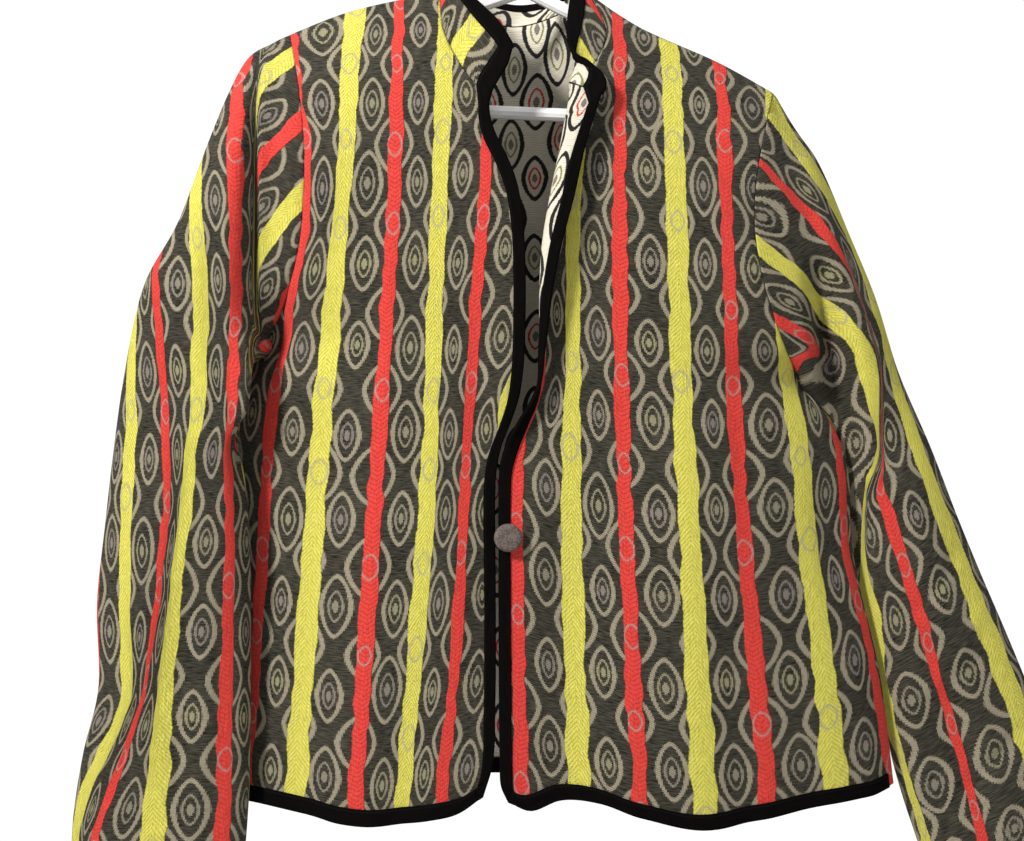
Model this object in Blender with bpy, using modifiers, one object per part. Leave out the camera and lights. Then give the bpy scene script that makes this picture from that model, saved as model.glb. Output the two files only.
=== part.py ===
"""Reversible jacket with a stand collar, hanging on a tubular hanger.

Sizes in the tables are millimetres. X runs to the right seen from the front, the front faces -Y and Z is up.
The origin is the inside top of the hanger's hook.
"""
import math

import bmesh
import bpy
import numpy as np
from mathutils import Vector

MM = 0.001
COLLECTION = "reversible_jacket"

# Cloth and binding
CLOTH = 1.5
BINDING = 1.0
BINDING_GAP = 0.3
BINDING_WIDTH = 10.0
# How far the binding's bend stands out past the cloth's edge and to each side of it
BINDING_OUT = 0.9
BINDING_BEND = 0.95
SEAM_GAP = 0.5
COLLAR_GAP = 1.4
SEAM_HALF = 0.65

# Front edge of the left front, which rolls outwards above the button
ROLL_RADIUS = 7.0

# Body outline seen from the front: columns x, z
SHOULDER_RIGHT = [(-64.8, -88), (-94.5, -92), (-136, -102), (-177, -118)]
SHOULDER_LEFT = [(49.2, -88), (66, -100), (87, -113), (147.4, -140), (187, -162)]
ARMHOLE_RIGHT = [(-177, -118), (-167, -160), (-161, -200), (-160, -245), (-165, -290), (-179, -328), (-198, -352)]
ARMHOLE_LEFT = [(187, -162), (176, -196), (168.5, -227), (166, -275), (174, -318), (189, -354), (208, -382)]
NECK_RIGHT = [(-64.8, -88), (-60, -122.7), (-46, -152), (-27.3, -177)]
NECK_LEFT = [(49.2, -88), (60, -122), (50, -150), (28, -166), (2, -177)]
NECK_BACK = [(-64.8, -88), (-45, -90.5), (-8, -93), (30, -90.5), (49.2, -88)]
EDGE_RIGHT = [(-27.3, -177), (-23.5, -200), (-14.8, -218), (-7.6, -237), (-4.1, -255), (-1.9, -280), (-1.2, -323),
              (-2.8, -372), (-6, -393), (-12, -411), (-18.6, -428), (-22, -445), (-23, -467), (-22.8, -500), (-22.8, -609),
              (-24.8, -655), (-31, -676)]
HEM_RIGHT = [(-31, -676), (-48, -687), (-68.5, -691.5), (-111.5, -696.5), (-161.6, -692), (-197, -687), (-236, -688)]
HEM_BACK = [(-236, -688), (-120, -690), (30, -688), (180, -690), (278, -683)]
HEM_LEFT = [(-12, -680), (3, -686.5), (24.6, -680), (53.2, -681.4), (81.8, -690), (124.8, -697.9), (167.8, -693.6),
            (217.9, -687), (278, -683)]

# Roll of the left front edge: z, x where the roll starts, turn in degrees, straight cloth after the turn
ROLL_LEFT = [
    (-177, 38.7, 178, 14.6), (-215, 31.6, 178, 10.0), (-251, 24.4, 172, 10.0), (-287, 18.7, 160, 8.0),
    (-323, 17.2, 138, 6.0), (-358, 17.2, 112, 5.0), (-391, 14.5, 80, 5.5), (-409, 6.0, 50, 7.0),
    (-423, -0.5, 24, 9.0), (-440, -6.2, 8, 10.0), (-462, -8.0, 0, 10.2), (-500, -8.3, 0, 10.0), (-650, -7.4, 0, 10.0),
    (-680, -2.0, 0, 10.0), (-720, -2.0, 0, 10.0),
]

# Lowest place of the roll's table that shapes the free edge, and the edge's place just above the hem
ROLL_END_Z = -672
LOW_EDGE_LEFT = (-16.5, -670)

# Side seams: height at the underarm and at the hem, and their count of places
SIDE_SEAM_RIGHT = (-352, -688)
SIDE_SEAM_LEFT = (-382, -683)
SIDE_SEAM_PLACES = 16

# Body walls by height: z, wearer's right side x, left side x, front depth, back depth
SIDES = [
    (-80, -262, 262, 30, 57), (-150, -258, 262, 34, 53), (-220, -252, 262, 40, 47), (-300, -238, 256, 44, 42),
    (-352, -198, 226, 45, 40), (-382, -216, 208, 46, 40), (-406, -221, 228, 46, 40), (-440, -224, 242, 46, 40),
    (-499, -226, 246, 47, 41),
    (-605, -230, 268.4, 48, 44), (-690, -236, 279, 49, 46), (-720, -237, 283, 49, 46),
]
FRONT_SIDE_POWER = 5.0
BACK_SIDE_POWER = 3.0
SHOULDER_REACH = 100.0
SHOULDER_POWER = 2.2
NECK_SPREAD = 1.5

# Soft folds of the body: x at top, z at top, x at bottom, z at bottom, height outwards, half width.
# A fold that ends above FOLD_OPEN_Z fades out at both ends, and the others run on to the hem.
FOLD_OPEN_Z = -700
FOLD_FADE = 2.2
FRONT_FOLDS = [
    (-60, -330, -68, -720, 5.0, 30), (-150, -300, -165, -720, -5.0, 26), (-110, -360, -118, -720, 4.0, 22),
    (28, -420, 30, -720, -5.0, 24), (110, -330, 122, -720, 6.0, 34), (190, -420, 205, -720, -4.0, 24),
    (150, -190, 190, -330, -5.0, 16), (-120, -150, -150, -300, 3.0, 20),
]
BACK_FOLDS = [
    (-120, -260, -140, -720, -6.0, 30), (-40, -200, -50, -720, 4.0, 34), (40, -260, 52, -720, -6.0, 30),
    (130, -240, 160, -720, 5.0, 32), (-60, -120, 10, -330, -4.0, 24),
]

# The armhole's form fades out over these sleeve rings, and the folds grow over these
ARMHOLE_FADE_RINGS = 5.0
FOLD_GROW_RINGS = 3.0
# Sleeve rings below the armhole: outer x, outer z, inner x, inner z, middle y, half depth
SLEEVE_RIGHT = [
    (-190, -126, -207, -359, -4, 31), (-206, -139, -216, -370, -11, 31), (-219, -168, -222, -385, -19, 30),
    (-236, -217, -219, -405, -27, 28), (-252, -267, -209, -434, -33, 27), (-275, -312, -203, -462, -37, 25),
    (-288, -372, -200, -494, -38, 24), (-296, -430, -199, -528, -39, 23), (-302, -482, -199, -562, -39, 22),
    (-308, -540, -199, -598, -39, 22), (-307, -600, -199, -634, -39, 22), (-318, -648, -200, -672, -39, 21),
    (-325, -692, -202, -706, -39, 21), (-327, -730, -205, -736, -39, 20), (-328, -740, -205.5, -746, -39, 20),
]
SLEEVE_LEFT = [
    (197, -176, 217, -388, 3, 31), (207, -190, 227, -397, 6, 31), (224, -213, 236, -410, 9, 30),
    (243, -254, 244, -430, 12, 28), (266, -311, 248, -458, 14, 27), (285, -370, 251, -496, 15, 25),
    (310, -428, 258, -536, 15, 24), (331, -482, 266, -572, 15, 23), (350, -528, 273, -606, 15, 22),
    (369, -572, 278, -638, 15, 22), (387, -616, 283, -668, 15, 21), (402, -658, 292, -700, 15, 21),
    (414, -692, 300, -724, 15, 20), (421, -716, 306, -742, 15, 20), (424, -726, 309, -751, 15, 20),
]
# Folds of the sleeves' front faces, as for the body, with z at the end of the fold
FOLDS_SLEEVE_RIGHT = [
    (-196, -120, -192, -420, -16.0, 9), (-209, -135, -208, -560, 5.0, 12), (-268, -300, -240, -420, -6.0, 16),
    (-262, -420, -285, -640, 5.0, 18), (-240, -520, -250, -730, -5.0, 14), (-300, -600, -262, -700, -4.0, 14),
]
FOLDS_SLEEVE_LEFT = [
    (205, -330, 236, -440, -10.0, 12), (200, -185, 268, -420, 6.0, 12), (188, -200, 240, -330, -5.0, 12),
    (290, -430, 320, -620, 5.0, 18), (300, -560, 340, -720, -5.0, 16), (262, -470, 300, -700, 4.0, 12),
]
BACK_FOLDS_SLEEVE = [(-250, -250, -262, -700, -5.0, 22), (270, -280, 350, -700, -5.0, 22)]

# Collar: front ends from the neck seam up, and the top edge from the right corner round the back
COLLAR_END_RIGHT = [(-20, -36, -165), (-12.7, -34, -150.6), (-9.8, -31, -135)]
COLLAR_TOP = [
    (-9.8, -31, -135), (-18.6, -27, -119), (-37.2, -17, -97), (-52, -2, -76), (-54, 24, -67), (-36, 49, -71),
    (-4, 62, -74), (28, 52, -71), (42, 28, -67), (39, 6, -70), (36, -6, -86), (32.5, -18, -108), (31, -27, -125),
    (33, -35, -138), (38, -42, -147), (46, -47, -153), (53, -50, -160),
]
COLLAR_END_LEFT = [(56, -51, -166), (56, -50.5, -172)]
# Shares of the neck curves that carry the collar's seam, and how far its shoulder points stand clear of the seams
NECK_RIGHT_SHARES = np.linspace(1.0, 0.16, 8)
NECK_BACK_SHARES = np.linspace(0.1, 0.86, 9)
NECK_LEFT_SHARES = np.linspace(0.24, 1.0, 11)
SHOULDER_POINT_RIGHT = (2.2, 0.0, 2.2)
SHOULDER_POINT_LEFT = (-4.6, 2.0, 3.6)
# Clearance of the collar's seam sideways and upwards, as shares of COLLAR_GAP
CLEAR_RIGHT = (1.0, 0.5)
CLEAR_LEFT = (-1.2, 0.8)

# Hanger. The hook is an arc from its shaft round to its open end, in degrees
HOOK_INSIDE = 20.0
HOOK_SHAFT_TOP = -62.0
HOOK_NECK = (1.5, 4.0)
HOOK_ARC = range(-68, 201, 18)
APEX_RISE = 1.5
ARM_PLACES_LEFT = (40.0, 80.0, 120.0)
ARM_PLACES_RIGHT = (-120.0, -80.0, -40.0)
BAR_PLACES = (60.0, -60.0)
BEND_STEPS = (0.2, 0.4, 0.6, 0.8)
HOOK_TUBE = 3.5
HANGER_TUBE = 4.9
ARM_DROP_RIGHT = 0.300
ARM_DROP_LEFT = 0.4615
ARM_RIGHT = -170.0
ARM_LEFT = 165.0
APEX_Z = -85.5
BAR_Z = -177.0
BAR_TILT = 0.045

# Button
BUTTON_RADIUS = 10.0
BUTTON_THICK = 4.0
BUTTON_X = -12.5
BUTTON_Z = -492.0
BUTTON_BEVEL = 1.2
BUTTON_GAP = 0.3
BUTTON_SEGMENTS = 28
SHANK_SEGMENTS = 12
SHANK_RADIUS = 1.6
SHANK_HEIGHT = 3.2
LOOP_CORD = 0.8
LOOP_CLEAR = 0.4
LOOP_REACH = 11.0
LOOP_HALF = 1.4
LOOP_ARC = range(130, -131, -26)

# Grid sizes
FRONT_COLUMNS = 9
BACK_COLUMNS = 7
NECK_COLUMNS = 11
SLEEVE_SIDES = 24
COLLAR_COLUMNS = 48
COLLAR_ROWS = [0.0, 0.07, 0.38, 0.68, 1.0]
COLLAR_LENGTH = 280.0
COLLAR_SPREAD = 0.8
# Share of the back's top line that each shoulder takes
SHOULDER_SHARE = 0.34


def clear_scene():
    for item in list(bpy.data.objects):
        bpy.data.objects.remove(item, do_unlink=True)


def hermite(points, count):
    """Dense points on a smooth curve through the given points."""
    points = np.asarray(points, float)
    knots = np.concatenate([[0.0], np.cumsum(np.linalg.norm(np.diff(points, axis=0), axis=1) ** 0.6)])
    slopes = np.gradient(points, knots, axis=0)
    at = np.linspace(0.0, knots[-1], count)
    index = np.clip(np.searchsorted(knots, at, side="right") - 1, 0, len(points) - 2)
    width = (knots[index + 1] - knots[index])[:, None]
    t = (at - knots[index])[:, None] / width
    start = points[index] * (2 * t**3 - 3 * t**2 + 1) + slopes[index] * width * (t**3 - 2 * t**2 + t)
    return start + points[index + 1] * (3 * t**2 - 2 * t**3) + slopes[index + 1] * width * (t**3 - t**2)


def along(points, fractions):
    """Points at fractions of the length of a smooth curve."""
    dense = hermite(points, 400)
    length = np.concatenate([[0.0], np.cumsum(np.linalg.norm(np.diff(dense, axis=0), axis=1))])
    wanted = np.asarray(fractions, float) * length[-1]
    return np.stack([np.interp(wanted, length, dense[:, k]) for k in range(dense.shape[1])], axis=-1)


def table_values(rows, key):
    """Smooth values of a table's columns at a height, the first column being the height."""
    rows = np.asarray(sorted(rows), float)
    slopes = np.gradient(rows[:, 1:], rows[:, 0], axis=0)
    key = float(np.clip(key, rows[0, 0], rows[-1, 0]))
    index = int(np.clip(np.searchsorted(rows[:, 0], key, side="right") - 1, 0, len(rows) - 2))
    width = rows[index + 1, 0] - rows[index, 0]
    t = (key - rows[index, 0]) / width
    start = rows[index, 1:] * (2 * t**3 - 3 * t**2 + 1) + slopes[index] * width * (t**3 - 2 * t**2 + t)
    return start + rows[index + 1, 1:] * (3 * t**2 - 2 * t**3) + slopes[index + 1] * width * (t**3 - t**2)


SHOULDER_LINE = sorted(SHOULDER_RIGHT + SHOULDER_LEFT)


def shoulder_height(x):
    xs = [point[0] for point in SHOULDER_LINE]
    zs = [point[1] for point in SHOULDER_LINE]
    return float(np.interp(x, xs, zs))


def fold_height(folds, x, z):
    """Sum of the soft folds at a place on the body, outwards positive."""
    total = 0.0
    for top_x, top_z, low_x, low_z, height, half in folds:
        run = (top_z - z) / (top_z - low_z)
        if run <= 0.0:
            continue
        middle = top_x + (low_x - top_x) * run
        fade = math.sin(0.5 * math.pi * min(1.0, run * FOLD_FADE)) ** 2
        if low_z > FOLD_OPEN_Z:
            fade = math.sin(math.pi * min(1.0, run)) ** 2
        total += height * fade * math.exp(-((x - middle) / half) ** 2)
    return total


def body_wall(x, z, front):
    """Point of the front or back wall over a place of the outline."""
    right, left, front_depth, back_depth = table_values(SIDES, z)
    middle = 0.5 * (right + left)
    reach = min(1.0, abs(x - middle) / (0.5 * (left - right)))
    power = FRONT_SIDE_POWER if front else BACK_SIDE_POWER
    side = 1.0 - reach**power
    below = max(0.0, shoulder_height(x) - z)
    beside = 0.0
    if not front:
        beside = NECK_SPREAD * max(0.0, min(x - NECK_BACK[0][0], NECK_BACK[-1][0] - x))
    from_seam = min(1.0, math.hypot(below, beside) / SHOULDER_REACH)
    rise = 1.0 - (1.0 - from_seam) ** SHOULDER_POWER
    depth = (front_depth if front else back_depth) * side * rise
    depth += fold_height(FRONT_FOLDS if front else BACK_FOLDS, x, z) * min(1.0, 3.0 * side * rise)
    depth = max(depth, 0.0) + SEAM_HALF
    return np.array([x, -depth if front else depth, z])


def right_front(x, z):
    return body_wall(x, z, True)


def left_front(x, z):
    """The left front, whose edge rolls outwards above the button."""
    start, turn, straight = table_values(ROLL_LEFT, z)
    if x >= start:
        return body_wall(x, z, True)
    base = body_wall(start, z, True)
    lift = body_wall(start + 2.0, z, True)
    slope = math.atan2(base[1] - lift[1], 2.0)
    run = start - x
    turn = math.radians(max(0.0, turn))
    arc = ROLL_RADIUS * turn
    angle = min(run, arc) / ROLL_RADIUS
    step_x = -ROLL_RADIUS * math.sin(angle)
    step_y = -ROLL_RADIUS * (1.0 - math.cos(angle))
    rest = max(0.0, run - arc)
    step_x -= rest * math.cos(angle)
    step_y -= rest * math.sin(angle)
    cos, sin = math.cos(slope), math.sin(slope)
    return base + np.array([step_x * cos + step_y * sin, -step_x * sin + step_y * cos, 0.0])


def back_wall(x, z):
    return body_wall(x, z, False)


def roll_edge():
    """The left front's free edge as it lies in the flat outline."""
    points = []
    for z, start, turn, straight in ROLL_LEFT:
        if z > ROLL_END_Z:
            points.append((start - ROLL_RADIUS * math.radians(turn) - straight, z))
    return points + [LOW_EDGE_LEFT, HEM_LEFT[0]]


def coons(top, bottom, left, right, f, t):
    """Point of the patch between four boundary functions."""
    corners = (1 - f) * (1 - t) * left(0.0) + f * (1 - t) * right(0.0)
    corners = corners + (1 - f) * t * left(1.0) + f * t * right(1.0)
    return (1 - t) * top(f) + t * bottom(f) + (1 - f) * left(t) + f * right(t) - corners


def curve(points):
    dense = hermite(points, 400)
    length = np.concatenate([[0.0], np.cumsum(np.linalg.norm(np.diff(dense, axis=0), axis=1))])
    length = length / length[-1]

    def at(fraction):
        return np.array([np.interp(fraction, length, dense[:, k]) for k in range(dense.shape[1])])

    return at


def chain(first, second, share):
    """One boundary function made of two curves, the first taking a share of the range."""
    head, tail = curve(first), curve(second)

    def at(fraction):
        return head(fraction / share) if fraction <= share else tail((fraction - share) / (1.0 - share))

    return at


# Rows of a body panel, the rows beside the neck and beside the armhole
ROWS = 26
NECK_ROW = 7
ARMHOLE_ROWS = 12
NECK_SHARE = NECK_ROW / ROWS
ARMHOLE_SHARE = ARMHOLE_ROWS / ROWS
BODY_LENGTH = 600.0
LAST_ROWS = [1.0 - BINDING_WIDTH / BODY_LENGTH, 1.0]
ROW_FRACTIONS = [k / ROWS for k in range(ROWS)] + LAST_ROWS
EDGE_STEPS = [0.0, 5.0, 10.0, 15.0, 20.0, 26.0, 33.0]
# Last column beside a side seam, where the hem's binding stops
SIDE_STEP = 3.5


def front_grid(shoulder, armhole, side, neck, edge, hem, wall):
    top, bottom = curve(shoulder), curve(hem)
    left = chain(neck, edge, NECK_SHARE)
    right = chain(armhole, side, ARMHOLE_SHARE)
    grid = []
    for t in ROW_FRACTIONS:
        width = np.linalg.norm(left(t) - right(t))
        steps = [step / width for step in EDGE_STEPS]
        steps += list(np.linspace(steps[-1], 1.0 - SIDE_STEP / width, FRONT_COLUMNS)[1:]) + [1.0]
        row = [coons(top, bottom, left, right, f, t) for f in steps]
        grid.append([wall(x, z) for x, z in row])
    return np.array(grid)


def back_grid():
    shoulder_right = list(reversed(SHOULDER_RIGHT))
    right_top, middle_top, left_top = curve(shoulder_right), curve(NECK_BACK), curve(SHOULDER_LEFT)
    share = SHOULDER_SHARE

    def top(f):
        if f <= share:
            return right_top(f / share)
        if f <= 1.0 - share:
            return middle_top((f - share) / (1.0 - 2.0 * share))
        return left_top((f - 1.0 + share) / share)

    hem = curve(HEM_BACK)
    left = chain(ARMHOLE_RIGHT, side_line(1, *SIDE_SEAM_RIGHT), ARMHOLE_SHARE)
    right = chain(ARMHOLE_LEFT, side_line(2, *SIDE_SEAM_LEFT), ARMHOLE_SHARE)
    first = SIDE_STEP / (SIDES[-2][2] - SIDES[-2][1])
    steps = [0.0] + list(np.linspace(first, share, BACK_COLUMNS - 1))
    steps += list(np.linspace(share, 1 - share, NECK_COLUMNS + 1)[1:])
    steps += list(np.linspace(1 - share, 1.0 - first, BACK_COLUMNS - 1)[1:]) + [1.0]
    grid = []
    for t in ROW_FRACTIONS:
        row = [coons(top, hem, left, right, f, t) for f in steps]
        grid.append([back_wall(x, z) for x, z in row])
    return np.array(grid)


def side_line(column, high, low):
    """The side seam, read from the table of the body's walls."""
    heights = np.linspace(high, low, SIDE_SEAM_PLACES)
    return [(float(table_values(SIDES, z)[column - 1]), float(z)) for z in heights]


def armhole_ring(armhole, outward):
    """Loop just outside the armhole, on the line of the body's walls."""
    half = SLEEVE_SIDES // 2
    points = along(armhole, np.linspace(0.0, 1.0, half + 1))
    slope = np.gradient(points, axis=0)
    slope /= np.linalg.norm(slope, axis=1)[:, None]
    across = np.stack([slope[:, 1], -slope[:, 0]], axis=1)
    across *= np.sign(across[half // 2, 0]) * outward
    ring = []
    for index in range(SLEEVE_SIDES):
        step = index if index <= half else SLEEVE_SIDES - index
        low = max(0.0, step / half - 0.5) / 0.5
        stand = SEAM_GAP + low + (1.0 if index in (0, half) else 0.0)
        x, z = points[step] + across[step] * stand
        point = body_wall(x, z, index <= half)
        if index in (0, half):
            point[1] = 0.0
        ring.append(point)
    return np.array(ring)


def oval_ring(outer_x, outer_z, inner_x, inner_z, middle_y, half_depth):
    ring = []
    for index in range(SLEEVE_SIDES):
        turn = 2.0 * math.pi * index / SLEEVE_SIDES
        share = 0.5 + 0.5 * math.cos(turn)
        x = inner_x + (outer_x - inner_x) * share
        z = inner_z + (outer_z - inner_z) * share
        ring.append(np.array([x, middle_y - half_depth * math.sin(turn), z]))
    return np.array(ring)


def sleeve_folds(folds, x, z):
    """Sum of a sleeve's soft folds, which fade out at both ends."""
    total = 0.0
    for top_x, top_z, low_x, low_z, height, half in folds:
        run = (top_z - z) / (top_z - low_z)
        if 0.0 < run < 1.0:
            middle = top_x + (low_x - top_x) * run
            total += height * math.sin(math.pi * run) ** 0.7 * math.exp(-((x - middle) / half) ** 2)
    return total


def sleeve_grid(armhole, rows, folds, outward):
    """Rings from the armhole down to the cuff, the armhole's own form fading out over the first ones."""
    half = SLEEVE_SIDES // 2
    first = armhole_ring(armhole, outward)
    plain = oval_ring(first[0][0], first[0][2], first[half][0], first[half][2], 0.0, rows[0][5])
    rings = [first]
    for number, row in enumerate(rows):
        fade = max(0.0, 1.0 - (number + 1) / ARMHOLE_FADE_RINGS)
        ring = oval_ring(*row) + (first - plain) * fade
        strength = min(1.0, (number + 1) / FOLD_GROW_RINGS)
        for index in range(SLEEVE_SIDES):
            turn = 2.0 * math.pi * index / SLEEVE_SIDES
            used = folds if index <= half else BACK_FOLDS_SLEEVE
            lift = sleeve_folds(used, ring[index][0], ring[index][2]) * strength
            ring[index][1] -= lift * math.sin(turn)
        rings.append(ring)
    return np.array(rings)


def neck_seam():
    """Loop of the collar's lower edge, just clear of the panels' neck edges."""
    points = []
    for x, z in along(NECK_RIGHT, NECK_RIGHT_SHARES):
        points.append(right_front(x + CLEAR_RIGHT[0] * COLLAR_GAP, z + CLEAR_RIGHT[1] * COLLAR_GAP))
    points.append(shoulder_point(NECK_RIGHT[0], SHOULDER_POINT_RIGHT))
    for x, z in along(NECK_BACK, NECK_BACK_SHARES):
        points.append(back_wall(x, z + COLLAR_GAP))
    points.append(shoulder_point(NECK_LEFT[0], SHOULDER_POINT_LEFT))
    for x, z in along(NECK_LEFT, NECK_LEFT_SHARES):
        points.append(left_front(x + CLEAR_LEFT[0] * COLLAR_GAP, z + CLEAR_LEFT[1] * COLLAR_GAP))
    return points


def shoulder_point(neck_point, away):
    """Point of the collar's seam over a shoulder seam, stood clear of the neck point."""
    return np.array([neck_point[0] + away[0], away[1], neck_point[1] + away[2]])


def collar_grid():
    seam = neck_seam()
    bottom, top = curve(seam), curve(COLLAR_TOP)
    left = curve([seam[0]] + [np.array(point, float) for point in COLLAR_END_RIGHT])
    right = curve([seam[-1]] + [np.array(p, float) for p in reversed(COLLAR_END_LEFT)] + [np.array(COLLAR_TOP[-1])])
    end = BINDING_WIDTH / COLLAR_LENGTH
    inner = end + (1.0 - 2.0 * end) * np.linspace(0.0, 1.0, COLLAR_COLUMNS - 4) ** COLLAR_SPREAD
    steps = [0.0, 0.5 * end] + list(inner) + [1.0 - 0.5 * end, 1.0]
    return np.array([[coons(bottom, top, left, right, f, t) for f in steps] for t in COLLAR_ROWS])


def material(name, colour, roughness, metallic=0.0):
    item = bpy.data.materials.new(name)
    item.use_nodes = True
    shader = item.node_tree.nodes["Principled BSDF"]
    shader.inputs["Base Color"].default_value = (*colour, 1.0)
    shader.inputs["Roughness"].default_value = roughness
    shader.inputs["Metallic"].default_value = metallic
    return item


def link(name, mesh, finish):
    item = bpy.data.objects.new(name, mesh)
    mesh.materials.append(finish)
    bpy.data.collections[COLLECTION].objects.link(item)
    return item


def surface(name, points, faces, thickness, finish):
    """An open cloth surface with Solidify."""
    mesh = bpy.data.meshes.new(name)
    mesh.from_pydata([tuple(np.asarray(point) * MM) for point in points], [], faces)
    mesh.update()
    mesh.shade_smooth()
    item = link(name, mesh, finish)
    solid = item.modifiers.new("thickness", "SOLIDIFY")
    solid.thickness = thickness * MM
    solid.offset = 0.0
    return item


def split(ring):
    """Two triangles of a four-sided cell, always across the same corners, so that layers stay parallel."""
    return [(ring[0], ring[1], ring[2]), (ring[0], ring[2], ring[3])]


def grid_faces(rows, columns, closed):
    faces = []
    for i in range(rows - 1):
        for j in range(columns if closed else columns - 1):
            k = (j + 1) % columns
            faces += split((i * columns + j, i * columns + k, (i + 1) * columns + k, (i + 1) * columns + j))
    return faces


def panel(name, grid, finish, closed=False):
    rows, columns = grid.shape[:2]
    return surface(name, grid.reshape(-1, 3), grid_faces(rows, columns, closed), CLOTH, finish)


def binding(name, item, grid, cells, edge, finish, closed=False):
    """Binding folded over an edge, made from the panel's own points moved out."""
    rows, columns = grid.shape[:2]
    normals = np.array([tuple(vertex.normal) for vertex in item.data.vertices]).reshape(rows, columns, 3)
    height = CLOTH / 2 + BINDING_GAP + BINDING / 2
    used = {}
    points = []
    faces = []
    for side in (1, -1):
        for i, j in cells:
            ring = []
            for a, b in ((i, j), (i, (j + 1) % columns), (i + 1, (j + 1) % columns), (i + 1, j)):
                if (side, a, b) not in used:
                    used[side, a, b] = len(points)
                    points.append(grid[a, b] + side * height * normals[a, b])
                ring.append(used[side, a, b])
            halves = split(ring)
            faces += halves if side > 0 else [tuple(reversed(half)) for half in halves]
    count = len(edge)
    bends = {1: [], -1: []}
    for number, (a, b) in enumerate(edge):
        before = edge[(number - 1) % count] if closed or number else edge[number]
        after = edge[(number + 1) % count] if closed or number + 1 < count else edge[number]
        tangent = grid[after] - grid[before]
        out = np.cross(tangent, normals[a, b])
        out /= np.linalg.norm(out)
        inside = grid[inward(a, b, rows, columns, cells)]
        if np.dot(out, grid[a, b] - inside) < 0:
            out = -out
        for side in (1, -1):
            bends[side].append(len(points))
            points.append(grid[a, b] + out * BINDING_OUT + side * normals[a, b] * BINDING_BEND)
    for number in range(count if closed else count - 1):
        after = (number + 1) % count
        first, second = edge[number], edge[after]
        top = (used[1, first[0], first[1]], used[1, second[0], second[1]])
        low = (used[-1, first[0], first[1]], used[-1, second[0], second[1]])
        faces.append((top[0], bends[1][number], bends[1][after], top[1]))
        faces.append((bends[1][number], bends[-1][number], bends[-1][after], bends[1][after]))
        faces.append((bends[-1][number], low[0], low[1], bends[-1][after]))
    made = surface(name, points, faces, BINDING, finish)
    consistent(made)
    return made


def inward(a, b, rows, columns, cells):
    """A grid place just inside the edge, used to tell which way is out."""
    for i, j in cells:
        corners = ((i, j), (i, (j + 1) % columns), (i + 1, (j + 1) % columns), (i + 1, j))
        if (a, b) in corners:
            return corners[(corners.index((a, b)) + 2) % 4]
    return (a, b)


def consistent(item):
    """Turn every face of an open surface the same way round."""
    work = bmesh.new()
    work.from_mesh(item.data)
    bmesh.ops.recalc_face_normals(work, faces=work.faces[:])
    work.to_mesh(item.data)
    work.free()


def tube(name, points, radius, finish, cyclic=False, sides=3):
    data = bpy.data.curves.new(name, "CURVE")
    data.dimensions = "3D"
    data.bevel_depth = radius * MM
    data.bevel_resolution = sides
    data.use_fill_caps = True
    line = data.splines.new("POLY")
    line.points.add(len(points) - 1)
    for point, place in zip(line.points, points):
        point.co = (place[0] * MM, place[1] * MM, place[2] * MM, 1.0)
    line.use_cyclic_u = cyclic
    item = bpy.data.objects.new(name, data)
    data.materials.append(finish)
    bpy.data.collections[COLLECTION].objects.link(item)
    return item


def as_mesh(item):
    """A curve object turned into a mesh object of the same name, its caps welded."""
    name = item.name
    graph = bpy.context.evaluated_depsgraph_get()
    mesh = bpy.data.meshes.new_from_object(item.evaluated_get(graph))
    work = bmesh.new()
    work.from_mesh(mesh)
    bmesh.ops.remove_doubles(work, verts=work.verts[:], dist=0.00001)
    work.to_mesh(mesh)
    work.free()
    place = item.matrix_world.copy()
    bpy.data.objects.remove(item, do_unlink=True)
    made = bpy.data.objects.new(name, mesh)
    made.matrix_world = place
    bpy.data.collections[COLLECTION].objects.link(made)
    return made


def join(target, other):
    """Boolean union of one solid into another."""
    modifier = target.modifiers.new("join", "BOOLEAN")
    modifier.operation = "UNION"
    modifier.solver = "EXACT"
    modifier.object = other
    graph = bpy.context.evaluated_depsgraph_get()
    mesh = bpy.data.meshes.new_from_object(target.evaluated_get(graph))
    target.modifiers.clear()
    target.data = mesh
    bpy.data.objects.remove(other, do_unlink=True)


def hanger_frame():
    """Arms, rounded ends and crossbar as one closed loop."""
    bend_right = 0.5 * ((APEX_Z + ARM_RIGHT * ARM_DROP_RIGHT) - (BAR_Z - BAR_TILT * ARM_RIGHT))
    bend_left = 0.5 * ((APEX_Z - ARM_LEFT * ARM_DROP_LEFT) - (BAR_Z - BAR_TILT * ARM_LEFT))
    points = [(0.0, 0.0, APEX_Z + APEX_RISE)]
    for x in (*ARM_PLACES_LEFT, ARM_LEFT):
        points.append((x, 0.0, APEX_Z - x * ARM_DROP_LEFT))
    centre = APEX_Z - ARM_LEFT * ARM_DROP_LEFT - bend_left
    for step in BEND_STEPS:
        turn = math.pi * (0.5 - step)
        points.append((ARM_LEFT + bend_left * math.cos(turn), 0.0, centre + bend_left * math.sin(turn)))
    for x in (ARM_LEFT, *BAR_PLACES, ARM_RIGHT):
        points.append((x, 0.0, BAR_Z - BAR_TILT * x))
    centre = BAR_Z - BAR_TILT * ARM_RIGHT + bend_right
    for step in BEND_STEPS:
        turn = -math.pi * (0.5 + step)
        points.append((ARM_RIGHT + bend_right * math.cos(turn), 0.0, centre + bend_right * math.sin(turn)))
    for x in (ARM_RIGHT, *ARM_PLACES_RIGHT):
        points.append((x, 0.0, APEX_Z + x * ARM_DROP_RIGHT))
    return points


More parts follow.
